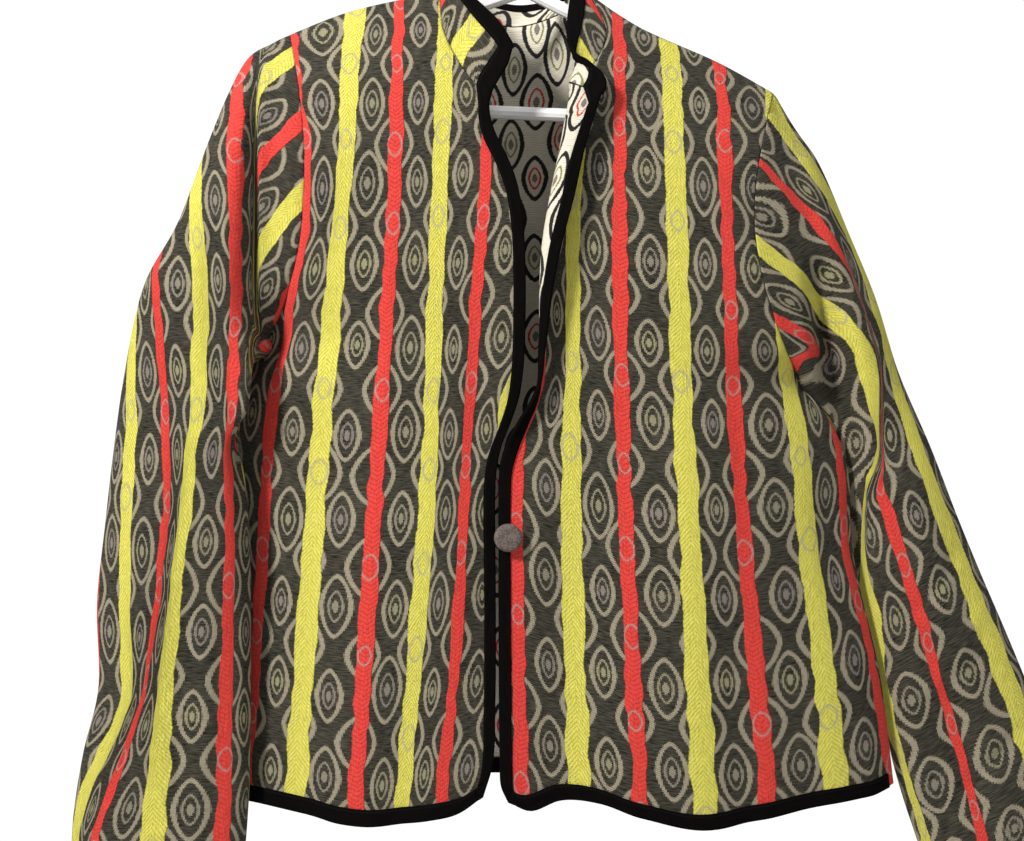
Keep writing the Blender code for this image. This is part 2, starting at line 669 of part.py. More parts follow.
def hanger(finish):
    frame = as_mesh(tube("hanger", hanger_frame(), HANGER_TUBE, finish, cyclic=True))
    centre_z = -HOOK_INSIDE
    radius = HOOK_INSIDE + HOOK_TUBE
    points = [(0.0, 0.0, APEX_Z), (0.0, 0.0, HOOK_SHAFT_TOP), (HOOK_NECK[0], 0.0, centre_z - radius - HOOK_NECK[1])]
    for degrees in HOOK_ARC:
        turn = math.radians(degrees)
        points.append((radius * math.cos(turn), 0.0, centre_z + radius * math.sin(turn)))
    hook = as_mesh(tube("hook", points, HOOK_TUBE, finish, sides=2))
    join(frame, hook)
    frame.data.materials.clear()
    frame.data.materials.append(finish)


def button(finish, cord):
    """Round button on a shank, and the loop that closes round the shank."""
    base = left_front(BUTTON_X, BUTTON_Z)[1] - CLOTH / 2 - BINDING_GAP - BINDING
    shank_y = base - BUTTON_GAP - SHANK_HEIGHT / 2
    disc_y = shank_y - SHANK_HEIGHT / 2 - BUTTON_GAP - BUTTON_THICK / 2
    bpy.ops.mesh.primitive_cylinder_add(vertices=SHANK_SEGMENTS, radius=SHANK_RADIUS * MM, depth=SHANK_HEIGHT * MM)
    shank = bpy.context.object
    shank.name = "button_shank"
    shank.rotation_euler = (math.pi / 2, 0.0, 0.0)
    shank.location = Vector((BUTTON_X, shank_y, BUTTON_Z)) * MM
    move(shank, cord)
    bpy.ops.mesh.primitive_cylinder_add(vertices=BUTTON_SEGMENTS, radius=BUTTON_RADIUS * MM, depth=BUTTON_THICK * MM)
    disc = bpy.context.object
    disc.name = "button"
    disc.rotation_euler = (math.pi / 2, 0.0, 0.0)
    disc.location = Vector((BUTTON_X, disc_y, BUTTON_Z)) * MM
    round_edge = disc.modifiers.new("edge", "BEVEL")
    round_edge.width = BUTTON_BEVEL * MM
    round_edge.segments = 3
    round_edge.limit_method = "ANGLE"
    move(disc, finish)
    radius = SHANK_RADIUS + LOOP_CORD + LOOP_CLEAR
    points = [(BUTTON_X - LOOP_REACH, shank_y, BUTTON_Z + LOOP_HALF)]
    for degrees in LOOP_ARC:
        turn = math.radians(degrees)
        points.append((BUTTON_X + radius * math.cos(turn), shank_y, BUTTON_Z + radius * math.sin(turn)))
    points.append((BUTTON_X - LOOP_REACH, shank_y, BUTTON_Z - LOOP_HALF))
    tube("button_loop", points, LOOP_CORD, cord, sides=2)


def move(item, finish):
    item.data.materials.append(finish)
    for collection in list(item.users_collection):
        collection.objects.unlink(item)
    bpy.data.collections[COLLECTION].objects.link(item)


def edge_cells(rows, columns):
    """Cells and edge places of a front's binding: down the front edge and along the hem."""
    cells = [(i, j) for i in range(NECK_ROW, rows - 1) for j in range(2)]
    cells += [(rows - 2, j) for j in range(2, columns - 2)]
    edge = [(i, 0) for i in range(NECK_ROW, rows)] + [(rows - 1, j) for j in range(1, columns - 1)]
    return cells, edge


def hem_cells(rows, columns):
    cells = [(rows - 2, j) for j in range(1, columns - 2)]
    return cells, [(rows - 1, j) for j in range(1, columns - 1)]


def cuff_cells(rows, columns):
    cells = [(rows - 2, j) for j in range(columns)]
    return cells, [(rows - 1, j) for j in range(columns)]


def collar_cells(rows, columns):
    cells = [(i, j) for i in range(1, rows - 2) for j in (0, 1, columns - 3, columns - 2)]
    cells += [(rows - 2, j) for j in range(columns - 1)]
    edge = [(i, 0) for i in range(1, rows)] + [(rows - 1, j) for j in range(1, columns)]
    edge += [(i, columns - 1) for i in range(rows - 2, 0, -1)]
    return cells, edge


def build():
    clear_scene()
    home = bpy.data.collections.new(COLLECTION)
    bpy.context.scene.collection.children.link(home)
    cloth = material("patterned_cloth", (0.055, 0.052, 0.045), 0.85)
    trim = material("black_binding", (0.008, 0.008, 0.01), 0.8)
    grey = material("grey_button", (0.12, 0.115, 0.11), 0.6)
    plastic = material("white_plastic", (0.85, 0.85, 0.84), 0.35)

    right_grid = front_grid(SHOULDER_RIGHT, ARMHOLE_RIGHT, side_line(1, *SIDE_SEAM_RIGHT), NECK_RIGHT, EDGE_RIGHT,
                            HEM_RIGHT, right_front)
    left_grid = front_grid(SHOULDER_LEFT, ARMHOLE_LEFT, side_line(2, *SIDE_SEAM_LEFT), NECK_LEFT, roll_edge(),
                           HEM_LEFT, left_front)
    grids = {
        "front_right": right_grid,
        "front_left": left_grid,
        "back": back_grid(),
        "collar": collar_grid(),
        "sleeve_right": sleeve_grid(ARMHOLE_RIGHT, SLEEVE_RIGHT, FOLDS_SLEEVE_RIGHT, -1),
        "sleeve_left": sleeve_grid(ARMHOLE_LEFT, SLEEVE_LEFT, FOLDS_SLEEVE_LEFT, 1),
    }
    bound = {
        "front_right": ("binding_front_right", edge_cells),
        "front_left": ("binding_front_left", edge_cells),
        "back": ("binding_back", hem_cells),
        "collar": ("binding_collar", collar_cells),
        "sleeve_right": ("binding_cuff_right", cuff_cells),
        "sleeve_left": ("binding_cuff_left", cuff_cells),
    }
    for name, grid in grids.items():
        ring = name.startswith("sleeve")
        item = panel(name, grid, cloth, closed=ring)
        trim_name, choose = bound[name]
        cells, edge = choose(*grid.shape[:2])
        binding(trim_name, item, grid, cells, edge, trim, closed=ring)
    hanger(plastic)
    button(grey, trim)


build()
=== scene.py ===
"""Looks of the reversible jacket on its hanger. Tables are in millimetres, in the part's own frame."""
import math

import bmesh
import bpy
import numpy as np
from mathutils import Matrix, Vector


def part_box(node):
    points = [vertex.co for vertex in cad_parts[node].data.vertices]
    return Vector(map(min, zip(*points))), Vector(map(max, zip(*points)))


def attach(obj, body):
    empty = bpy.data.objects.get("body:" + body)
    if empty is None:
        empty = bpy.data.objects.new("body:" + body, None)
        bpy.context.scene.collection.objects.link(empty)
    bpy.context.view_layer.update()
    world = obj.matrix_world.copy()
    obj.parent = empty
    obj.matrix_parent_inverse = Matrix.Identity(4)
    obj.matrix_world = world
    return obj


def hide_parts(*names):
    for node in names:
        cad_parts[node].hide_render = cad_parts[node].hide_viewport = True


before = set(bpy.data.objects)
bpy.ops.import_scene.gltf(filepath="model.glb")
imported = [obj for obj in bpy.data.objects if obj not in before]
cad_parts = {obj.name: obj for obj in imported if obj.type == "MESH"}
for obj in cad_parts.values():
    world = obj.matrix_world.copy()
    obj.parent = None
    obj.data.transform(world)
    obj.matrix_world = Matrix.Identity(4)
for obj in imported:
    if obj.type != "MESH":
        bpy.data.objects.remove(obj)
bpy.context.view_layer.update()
MM = 0.001
TURN = 2.0 * math.pi

# Cloth and binding
CLOTH = 1.3
BINDING = 0.9
BINDING_STAND = 1.15
BINDING_OUT = 0.9
BINDING_WIDE = 10.0
BINDING_OVERLAP = 1.12
SEAM_HALF = 0.65
CLEARANCE = 0.3
COLLAR_GAP = 0.6
ROLL_RADIUS = 7.0

# Woven pattern: stripes, and lozenges on a lattice
REPEAT = 76.0
YELLOW_HALF = 7.1
RED_HALF = 5.1
BRAID = 3.4
MOTIF_ACROSS = 38.0
MOTIF_DOWN = 62.0
MOTIF_POWER = 1.55
GAP_SHIFT = (19.0, 0.0)
UNDER_SHIFT = (0.0, 31.0)
YARN = 1.0

# Binding tape: twill, stitches and their distance from the edge
TWILL = 1.1
STITCH = 3.0
STITCH_LINE = 9.4

# Body outline seen from the front: columns x, z
SHOULDER_RIGHT = [(-64.8, -88), (-94.5, -92), (-136, -102), (-177, -118)]
SHOULDER_LEFT = [(49.2, -88), (66, -100), (87, -113), (147.4, -140), (187, -162)]
ARMHOLE_RIGHT = [
    (-177, -118), (-167, -160), (-161, -200), (-160, -245), (-165, -290), (-179, -328), (-198, -352),
]
ARMHOLE_LEFT = [
    (187, -162), (176, -196), (168.5, -227), (166, -275), (174, -318), (189, -354), (208, -382),
]
NECK_RIGHT = [(-64.8, -88), (-60, -122.7), (-46, -152), (-27.3, -177)]
NECK_LEFT = [(49.2, -88), (60, -122), (50, -150), (28, -166), (2, -177)]
NECK_BACK = [(-64.8, -88), (-45, -90.5), (-8, -93), (30, -90.5), (49.2, -88)]
EDGE_RIGHT = [
    (-27.3, -177), (-26.9, -187), (-23.5, -200), (-14.8, -218), (-7.6, -237), (-4.1, -255),
    (-1.9, -280), (-1.2, -323), (-2.8, -372), (-6, -393), (-12, -411), (-18.6, -428), (-22, -445),
    (-23, -467), (-22.8, -500), (-22.8, -609), (-24.8, -655), (-31, -676),
]
HEM_RIGHT = [
    (-31, -676), (-48, -687), (-68.5, -691.5), (-111.5, -696.5), (-161.6, -692), (-197, -687),
    (-236, -688),
]
HEM_LEFT = [
    (-12, -680), (3, -686.5), (24.6, -680), (53.2, -681.4), (81.8, -690), (124.8, -697.9),
    (167.8, -693.6), (217.9, -687), (278, -683),
]
HEM_BACK = [(-236, -688), (-120, -690), (30, -688), (180, -690), (278, -683)]

# Roll of the left front edge: z, x where the roll starts, turn in degrees, straight cloth after the turn
ROLL_LEFT = [
    (-177, 38.7, 178, 14.6), (-215, 31.6, 178, 10.0), (-251, 24.4, 172, 10.0), (-287, 18.7, 160, 8.0),
    (-323, 17.2, 138, 6.0), (-358, 17.2, 112, 5.0), (-391, 14.5, 80, 5.5), (-409, 6.0, 50, 7.0),
    (-423, -0.5, 24, 9.0), (-440, -6.2, 8, 10.0), (-462, -8.0, 0, 10.2), (-500, -8.3, 0, 10.0),
    (-650, -7.4, 0, 10.0), (-680, -2.0, 0, 10.0), (-720, -2.0, 0, 10.0),
]

# Lowest height that the roll shapes, and where the edge then meets the hem's corner
ROLL_END = -672
ROLL_FOOT = (-16.5, -670)

# Side seams: column in the table below, z at the armhole, z at the hem
SIDE_RIGHT = (1, -352, -688)
SIDE_LEFT = (2, -382, -683)
# Body walls by height: z, wearer's right side x, left side x, front depth, back depth
SIDES = [
    (-80, -262, 262, 30, 57), (-150, -258, 262, 34, 53), (-220, -252, 262, 40, 47),
    (-300, -238, 256, 44, 42), (-352, -198, 226, 45, 40), (-382, -216, 208, 46, 40),
    (-406, -221, 228, 46, 40), (-440, -224, 242, 46, 40), (-499, -226, 246, 47, 41),
    (-605, -230, 268.4, 48, 44), (-690, -236, 279, 49, 46), (-720, -237, 283, 49, 46),
]
FRONT_SIDE_POWER = 5.0
BACK_SIDE_POWER = 3.0
SHOULDER_REACH = 100.0
SHOULDER_POWER = 2.2
NECK_SPREAD = 1.5

# Soft folds of the body: x at top, z at top, x at bottom, z at bottom, height outwards, half width
FRONT_FOLDS = [
    (-60, -330, -68, -720, 5.0, 30), (-150, -300, -165, -720, -5.0, 26),
    (-110, -360, -118, -720, 4.0, 22), (28, -420, 30, -720, -5.0, 24), (110, -330, 122, -720, 6.0, 34),
    (190, -420, 205, -720, -4.0, 24), (150, -190, 190, -330, -5.0, 16),
    (-120, -150, -150, -300, 3.0, 20),
]
BACK_FOLDS = [
    (-120, -260, -140, -720, -6.0, 30), (-40, -200, -50, -720, 4.0, 34),
    (40, -260, 52, -720, -6.0, 30), (130, -240, 160, -720, 5.0, 32), (-60, -120, 10, -330, -4.0, 24),
]
# Finer creases, with the same columns
FRONT_CREASES = [
    (-172, -250, -186, -420, -3.0, 9), (-150, -330, -196, -400, 2.4, 9),
    (-182, -430, -190, -610, -2.6, 10), (-96, -230, -100, -470, 1.6, 11),
    (-30, -300, -40, -480, -2.2, 9), (-52, -470, -46, -640, 1.8, 10), (-84, -560, -90, -720, -2.0, 11),
    (-132, -470, -138, -720, 1.8, 10), (-16, -440, -32, -600, -2.4, 9), (52, -250, 50, -420, -2.0, 12),
    (88, -200, 92, -400, 1.6, 12), (150, -330, 164, -540, -2.4, 10), (6, -430, 12, -560, 2.0, 9),
    (70, -480, 78, -720, 1.8, 12), (146, -520, 158, -720, -2.2, 12), (214, -400, 236, -600, -2.6, 9),
    (200, -330, 226, -420, 3.0, 9), (232, -520, 262, -720, 2.0, 10), (178, -250, 192, -370, 2.4, 8),
    (120, -160, 150, -260, -1.6, 10),
]
BACK_CREASES = [
    (-190, -300, -206, -470, -3.0, 10), (-160, -330, -196, -420, 2.2, 9),
    (-90, -300, -98, -560, 2.0, 12), (-12, -330, -16, -640, -2.0, 12), (86, -300, 96, -600, -2.2, 12),
    (170, -300, 200, -470, 2.6, 10), (210, -400, 240, -600, -2.6, 10),
    (-150, -540, -160, -720, 2.0, 12), (20, -520, 26, -720, 1.8, 12), (150, -520, 176, -720, 2.0, 12),
    (-60, -540, -66, -720, -1.8, 12),
]

# Sleeve rings below the armhole: outer x, outer z, inner x, inner z, middle y, half depth
SLEEVE_RIGHT = [
    (-190, -126, -207, -359, -4, 31), (-206, -139, -216, -370, -11, 31),
    (-219, -168, -222, -385, -19, 30), (-236, -217, -219, -405, -27, 28),
    (-252, -267, -209, -434, -33, 27), (-275, -312, -203, -462, -37, 25),
    (-288, -372, -200, -494, -38, 24), (-296, -430, -199, -528, -39, 23),
    (-302, -482, -199, -562, -39, 22), (-308, -540, -199, -598, -39, 22),
    (-307, -600, -199, -634, -39, 22), (-318, -648, -200, -672, -39, 21),
    (-325, -692, -202, -706, -39, 21), (-327, -730, -205, -736, -39, 20),
    (-328, -740, -205.5, -746, -39, 20),
]
SLEEVE_LEFT = [
    (197, -176, 217, -388, 3, 31), (207, -190, 227, -397, 6, 31), (224, -213, 236, -410, 9, 30),
    (243, -254, 244, -430, 12, 28), (266, -311, 248, -458, 14, 27), (285, -370, 251, -496, 15, 25),
    (310, -428, 258, -536, 15, 24), (331, -482, 266, -572, 15, 23), (350, -528, 273, -606, 15, 22),
    (369, -572, 278, -638, 15, 22), (387, -616, 283, -668, 15, 21), (402, -658, 292, -700, 15, 21),
    (414, -692, 300, -724, 15, 20), (421, -716, 306, -742, 15, 20), (424, -726, 309, -751, 15, 20),
]
# Folds of the sleeves, with z at the end of the fold
FOLDS_SLEEVE_RIGHT = [
    (-197.5, -60, -197, -480, -17.0, 3.4), (-184, -90, -186, -400, -16.0, 13),
    (-209, -135, -208, -560, 5.0, 12), (-268, -300, -240, -420, -6.0, 16),
    (-262, -420, -285, -640, 5.0, 18), (-240, -520, -250, -730, -5.0, 14),
    (-300, -600, -262, -700, -4.0, 14),
]
FOLDS_SLEEVE_LEFT = [
    (214, -290, 240, -450, -30.0, 12), (238, -350, 258, -640, -15.0, 8),
    (200, -185, 268, -420, 6.0, 12), (188, -200, 240, -330, -5.0, 12), (290, -430, 320, -620, 5.0, 18),
    (300, -560, 340, -720, -5.0, 16), (262, -470, 300, -700, 4.0, 12),
]
BACK_FOLDS_SLEEVE = [(-250, -250, -262, -700, -5.0, 22), (270, -280, 350, -700, -5.0, 22)]
CREASES_SLEEVE_RIGHT = [
    (-222, -200, -226, -420, -2.6, 7), (-246, -260, -270, -330, 2.6, 8),
    (-284, -380, -230, -470, -2.6, 9), (-292, -450, -232, -540, 2.2, 9),
    (-222, -470, -226, -700, 2.0, 8), (-296, -540, -250, -620, -2.4, 9),
    (-312, -640, -276, -730, 2.4, 8), (-216, -560, -220, -740, -1.8, 7),
]
CREASES_SLEEVE_LEFT = [
    (214, -220, 262, -330, -2.6, 8), (232, -300, 278, -360, 2.4, 8), (250, -360, 282, -470, -2.8, 8),
    (268, -430, 300, -500, 2.6, 8), (330, -500, 290, -560, -2.4, 8), (352, -540, 300, -620, 2.2, 8),
    (330, -600, 366, -730, 2.4, 9), (384, -630, 330, -690, -2.2, 8), (300, -640, 326, -740, -2.2, 8),
]
BACK_CREASES_SLEEVE = [
    (-230, -240, -240, -500, 2.4, 10), (-280, -400, -240, -480, -2.4, 9),
    (-262, -520, -280, -720, 2.2, 11), (236, -260, 262, -420, 2.4, 10),
    (300, -430, 270, -500, -2.4, 9), (310, -520, 350, -700, 2.2, 11),
]

# Cloth that bulges over the underarm: sideways, height, half its tallness, turn, half its width, furthest x
TUCKS_RIGHT = [
    (28, -380, 34, 0.72, 0.18, -197.6), (12, -358, 11, 1.0, 0.15, -188),
    (12, -358, 11, -1.0, 0.15, -188),
]
TUCKS_LEFT = [
    (-14, -392, 18, -0.75, 0.16, 190), (-8, -387, 10, 1.0, 0.15, 200), (-8, -387, 10, -1.0, 0.15, 200),
]

# Collar: front ends from the neck seam up, and the top edge from the right corner round the back
COLLAR_END_RIGHT = [(-24.5, -36.5, -169), (-18.5, -35, -158), (-12.5, -33.5, -147), (-9.8, -31, -135)]
COLLAR_TOP = [
    (-9.8, -31, -135), (-18.6, -27, -119), (-37.2, -17, -97), (-52, -2, -76), (-54, 24, -67),
    (-36, 49, -71), (-4, 62, -74), (28, 52, -71), (42, 28, -67), (39, 6, -70), (36, -6, -86),
    (32.5, -18, -108), (31, -27, -125), (33, -35, -138), (38, -42, -147), (46, -47, -153),
    (53, -50, -160),
]
COLLAR_END_LEFT = [(56, -51, -166), (56, -50.5, -172)]


def even_lines(table):
    """Lines that keep one place across the stripes, from a table of each place's x and z."""
    return [[(x, z, place) for x, z in line] for place, line in table.items()]


# Where stripes run on the cloth: lists of x, z and the cloth's own place across the stripes
STRIPES_FRONT_RIGHT = even_lines({
    38: [(-180, -118), (-158, -214), (-158, -272), (-172.4, -328), (-187.2, -409), (-193.3, -511),
         (-202.5, -644), (-206, -700)],
    0: [(-124, -94), (-127.2, -144), (-128.5, -207), (-136.3, -294), (-147, -409), (-157.6, -539),
         (-167.9, -684)],
    -38: [(-94.2, -94), (-93, -177), (-93.8, -251), (-98.7, -337), (-104.1, -423), (-110.8, -537),
         (-120, -682)],
    -76: [(-57.5, -134), (-60.9, -214), (-63.5, -294), (-65.5, -380), (-68.1, -465), (-76.5, -565),
         (-87, -678)],
    -114: [(-26, -177), (-29.9, -251), (-36.3, -323), (-41.2, -409), (-45.3, -494), (-50.2, -579),
         (-60.8, -676)],
    -152: [(4, -300), (2, -360), (-16.4, -400), (-15, -430), (-14, -560), (-19, -600), (-28, -676)],
})
STRIPES_FRONT_LEFT = even_lines({
    -38: [(12, -340), (10, -380), (2.9, -402), (-5.5, -423), (-7.7, -480), (-6.9, -537), (-4.8, -608),
         (-3.4, -676)],
    0: [(38.4, -203), (32.5, -254), (32.4, -323), (32.3, -409), (33.1, -494), (35.3, -595),
         (38.7, -676)],
    38: [(68.5, -118), (67.4, -200), (66.8, -294), (68, -394), (71.4, -494), (76.3, -594),
         (81.8, -682)],
    76: [(108.6, -131), (107.3, -199), (109.9, -294), (112.4, -394), (117.3, -494), (122.1, -593),
         (126.9, -685)],
    114: [(145.4, -141), (143.4, -221), (146.1, -322), (150.2, -423), (157, -509), (164.7, -595),
         (173.3, -680)],
    152: [(188, -330), (197.3, -394), (204.3, -467), (213.3, -540), (219.8, -613), (225.4, -678)],
    190: [(232, -400), (235.1, -431), (240.3, -513), (257.6, -574), (270.5, -649), (277.6, -680)],
})
STRIPES_SLEEVE_RIGHT = even_lines({
    0: [(-281, -380), (-279.1, -416), (-281.7, -479), (-280.6, -535), (-277.3, -605), (-294.1, -639),
         (-308, -664), (-320, -700)],
    38: [(-266, -300), (-264.1, -317), (-254, -395), (-249.3, -465), (-256.5, -535), (-269.3, -605),
         (-290.4, -660), (-306.3, -704)],
    76: [(-240, -210), (-236.6, -251), (-227.3, -324), (-229, -381), (-235.8, -430), (-246, -507),
         (-257.1, -591), (-264.5, -703)],
    114: [(-212.4, -140), (-212.4, -171), (-206.5, -252), (-206.5, -323), (-210.6, -423),
         (-208.7, -508), (-211.1, -593), (-214.3, -705)],
}) + [
    [(-200, -120, 121), (-200, -420, 122), (-199.5, -440, 140)],
    [(-197.3, -120, 124), (-197.3, -150, 136), (-197.3, -420, 138), (-197, -440, 144)],
    [(-195.6, -120, 127), (-195.6, -150, 147), (-195.6, -200, 175), (-195.6, -250, 204),
     (-195.6, -300, 233), (-195.6, -350, 259)],
    [(-162, -120, 150), (-162, -150, 166), (-162, -190, 190), (-162, -247, 228), (-164, -300, 264),
     (-170, -350, 285)],
]
STRIPES_SLEEVE_LEFT = [
    [(187, -175, 0), (219, -222, 0), (245, -270, 0), (265, -320, 0), (280, -379, 0), (305, -455, 0),
     (340, -541, 0), (370.7, -617, 0), (404, -710, 0)],
    [(100, -157, 30), (172.2, -218, 30), (194.4, -237, 30), (225.6, -262, 30), (238, -285, 30),
     (245, -302, 24), (249.5, -320, 17), (256.9, -342, 14.5), (264.3, -364, 13), (265.7, -394, 20),
     (266.5, -429, 29), (268, -453, 30), (280, -478, 30), (290, -513, 30), (314, -596, 30),
     (334, -657, 30), (350, -723, 30)],
    [(100, -153, 46), (172.2, -228, 46), (194.4, -251, 46), (228, -285, 46), (236, -294, 46),
     (244.2, -302, 46), (248.7, -320, 57), (256.1, -342, 64), (263.5, -364, 69), (264.9, -394, 70),
     (265.5, -429, 78), (265.5, -441, 80), (257.5, -453, 47), (264, -478, 46), (274, -513, 46),
     (302, -596, 46), (322, -657, 46), (338, -723, 46)],
    [(100, -229, 66), (172.8, -276, 66), (200.8, -294, 66), (228, -318, 66), (239.6, -327.5, 68),
     (252, -347, 69), (260.5, -364, 70), (262.5, -394, 72), (264.6, -429, 80), (264.9, -441, 82),
     (257, -453, 52), (257.5, -475, 54), (258, -497, 60), (262, -528, 68), (271, -560, 68),
     (277, -613, 68), (290, -668, 68), (309, -727, 68)],
    [(100, -247, 86), (172.8, -296, 86), (200.8, -315, 86), (235, -347, 85), (246, -370, 84),
     (253.5, -394, 84), (259.5, -409, 84), (263.5, -429, 84), (264, -441, 84.5), (256.3, -453, 84.5),
     (256, -475, 84.5), (256.5, -497, 84.5), (257, -528, 84), (259, -560, 84), (268, -613, 84),
     (285, -668, 84), (303, -727, 84)],
    [(100, -285, 104), (172, -321, 104), (199, -334, 104), (212, -340, 104), (225, -348, 104),
     (230, -356, 104), (234, -364, 98), (239, -374, 94), (243, -390, 94), (252, -430, 96),
     (250, -453, 91), (250, -497, 91), (254, -560, 90), (260, -613, 94), (277, -668, 94),
     (295, -727, 94)],
    [(60, -290, 114), (172, -332, 114), (201, -345, 114), (212, -350, 114), (222, -357, 113),
     (222, -364, 104), (224, -376, 103), (230, -390, 105), (240, -430, 106), (238, -470, 103),
     (240, -560, 104), (240, -727, 110)],
    [(55, -296, 119), (160, -332, 119), (190, -345, 119), (201, -350, 119), (212, -356, 119),
     (206, -364, 106), (205, -376, 106), (206, -390, 107), (228, -430, 109), (230, -470, 110),
     (230, -727, 112)],
]
COLLAR_PLACES = [
    (0.0, -28.0), (0.105, 0.0), (0.235, 38.0), (0.36, 76.0), (0.5, 114.0), (0.62, 152.0),
    (0.74, 190.0), (1.0, 262.0),
]

# Button: thickness, and radius with the distance behind or ahead of its faces
BUTTON_THICK = 4.0
BUTTON_BACK = [(0.0, 0.0), (3.0, -0.15), (6.0, -0.1), (8.2, 0.1), (9.3, 0.6), (10.0, 1.6)]
BUTTON_FACE = [(10.0, -1.2), (9.2, -0.3), (7.5, 0.0), (0.0, 0.0)]
BUTTON_SEGMENTS = 72

# Grid sizes
FINE_ROWS = 182
NECK_SHARE = 7 / 26
ARMHOLE_SHARE = 12 / 26
BODY_LENGTH = 600.0
COLLAR_LENGTH = 280.0
RIGHT_COLUMNS = 72
LEFT_COLUMNS = 84
BACK_COLUMNS = 150
BACK_SHOULDER_SHARE = 0.34
SLEEVE_COLUMNS = 132
SLEEVE_ROWS = 190
COARSE_HALF = 12
COLLAR_COLUMNS = 150
COLLAR_ROWS = 16
EDGE_STEPS = np.array([0.0, 2.1, 4.2, 6.3, 8.4, 11.0, 14.0])
SEAM_STEPS = np.array([5.5, 3.5, 2.0, 1.0, 0.0])
BINDING_COLUMNS = 4
TAPE_STEP = 2.5

# Lights, in metres and watts: place, target, size, power, colour
LIGHTS = {
    "key": ((-1.2, -1.3, 0.65), (0.0, 0.0, -0.35), 0.35, 60.0, (1.0, 0.98, 0.95)),
    "top": ((0.05, -0.3, 0.75), (0.0, 0.03, -0.12), 0.5, 3.0, (1.0, 1.0, 1.0)),
    "fill": ((1.3, -1.7, 0.1), (0.0, 0.0, -0.4), 1.2, 9.0, (0.97, 0.98, 1.0)),
    "rim": ((0.6, 1.8, 0.8), (0.0, 0.0, -0.35), 1.2, 24.0, (1.0, 1.0, 1.0)),
}
CAMERA_PLACE = (-0.0098, -0.86, -0.409)
LENS = 40.0
SENSOR = 36.0
FLOOR_HALF = 2.4
FLOOR_HEIGHT = -1.7
WORLD_SEEN = 0.75
WORLD_LIGHT = 0.3


def cubic(keys, slopes, index, width, t):
    """Smooth values between each key and the next, from the keys and the slopes there."""
    start = keys[index] * (2 * t**3 - 3 * t**2 + 1) + slopes[index] * width * (t**3 - 2 * t**2 + t)
    return start + keys[index + 1] * (3 * t**2 - 2 * t**3) + slopes[index + 1] * width * (t**3 - t**2)


def hermite(points, count):
    """Dense points on a smooth curve through the given points."""
    points = np.asarray(points, float)
    steps = np.linalg.norm(np.diff(points, axis=0), axis=1) ** 0.6
    knots = np.concatenate([[0.0], np.cumsum(steps)])
    slopes = np.gradient(points, knots, axis=0)
    at = np.linspace(0.0, knots[-1], count)
    index = np.clip(np.searchsorted(knots, at, side="right") - 1, 0, len(points) - 2)
    width = (knots[index + 1] - knots[index])[:, None]
    return cubic(points, slopes, index, width, (at - knots[index])[:, None] / width)


def path_lengths(path):
    """Length of a path from its start to each of its points."""
    return np.concatenate([[0.0], np.cumsum(np.linalg.norm(np.diff(path, axis=0), axis=1))])


def curve(points):
    """Function from fractions of a smooth curve's length to its points."""
    dense = hermite(points, 600)
    length = path_lengths(dense)
    length = length / length[-1]

    def at(fraction):
        return np.stack([np.interp(fraction, length, column) for column in dense.T], axis=-1)

    return at


def chain(first, second, share):
    """One boundary function made of two curves, the first taking a share of the range."""
    head, tail = curve(first), curve(second)

    def at(fraction):
        fraction = np.asarray(fraction, float)
        start = head(np.clip(fraction / share, 0.0, 1.0))
        rest = tail(np.clip((fraction - share) / (1.0 - share), 0.0, 1.0))
        return np.where((fraction <= share)[..., None], start, rest)

    return at


def table_values(rows, key):
    """Smooth values of a table's columns at heights, the first column being the height."""
    rows = np.asarray(sorted(rows), float)
    slopes = np.gradient(rows[:, 1:], rows[:, 0], axis=0)
    key = np.clip(np.asarray(key, float), rows[0, 0], rows[-1, 0])
    index = np.clip(np.searchsorted(rows[:, 0], key, side="right") - 1, 0, len(rows) - 2)
    width = (rows[index + 1, 0] - rows[index, 0])[..., None]
    t = (key - rows[index, 0])[..., None] / width
    values = cubic(rows[:, 1:], slopes, index, width, t)
    return [values[..., k] for k in range(values.shape[-1])]


SHOULDER_LINE = np.array(sorted(SHOULDER_RIGHT + SHOULDER_LEFT), float)


def fold_height(folds, x, z):
    """Sum of the soft folds of the body, outwards positive."""
    total = np.zeros_like(x)
    for top_x, top_z, low_x, low_z, height, half in folds:
        run = (top_z - z) / (top_z - low_z)
        middle = top_x + (low_x - top_x) * run
        if low_z > -700:
            fade = np.sin(math.pi * np.clip(run, 0.0, 1.0)) ** 2
        else:
            fade = np.sin(0.5 * math.pi * np.clip(run * 2.2, 0.0, 1.0)) ** 2
        total += height * fade * np.exp(-((x - middle) / half) ** 2)
    return total


def ripple(x, z, seed):
    """Small uneven undulation of the cloth, from a few fixed waves."""
    total = np.zeros_like(x)
    for number in range(5):
        turn = 1.7 * number + seed
        across, down = 0.028 + 0.017 * number, 0.006 + 0.004 * ((number * 3 + seed) % 4)
        total += np.sin(x * across * math.cos(0.3 * turn) + z * down + turn) / (1.6 + number)
    return total * 0.55


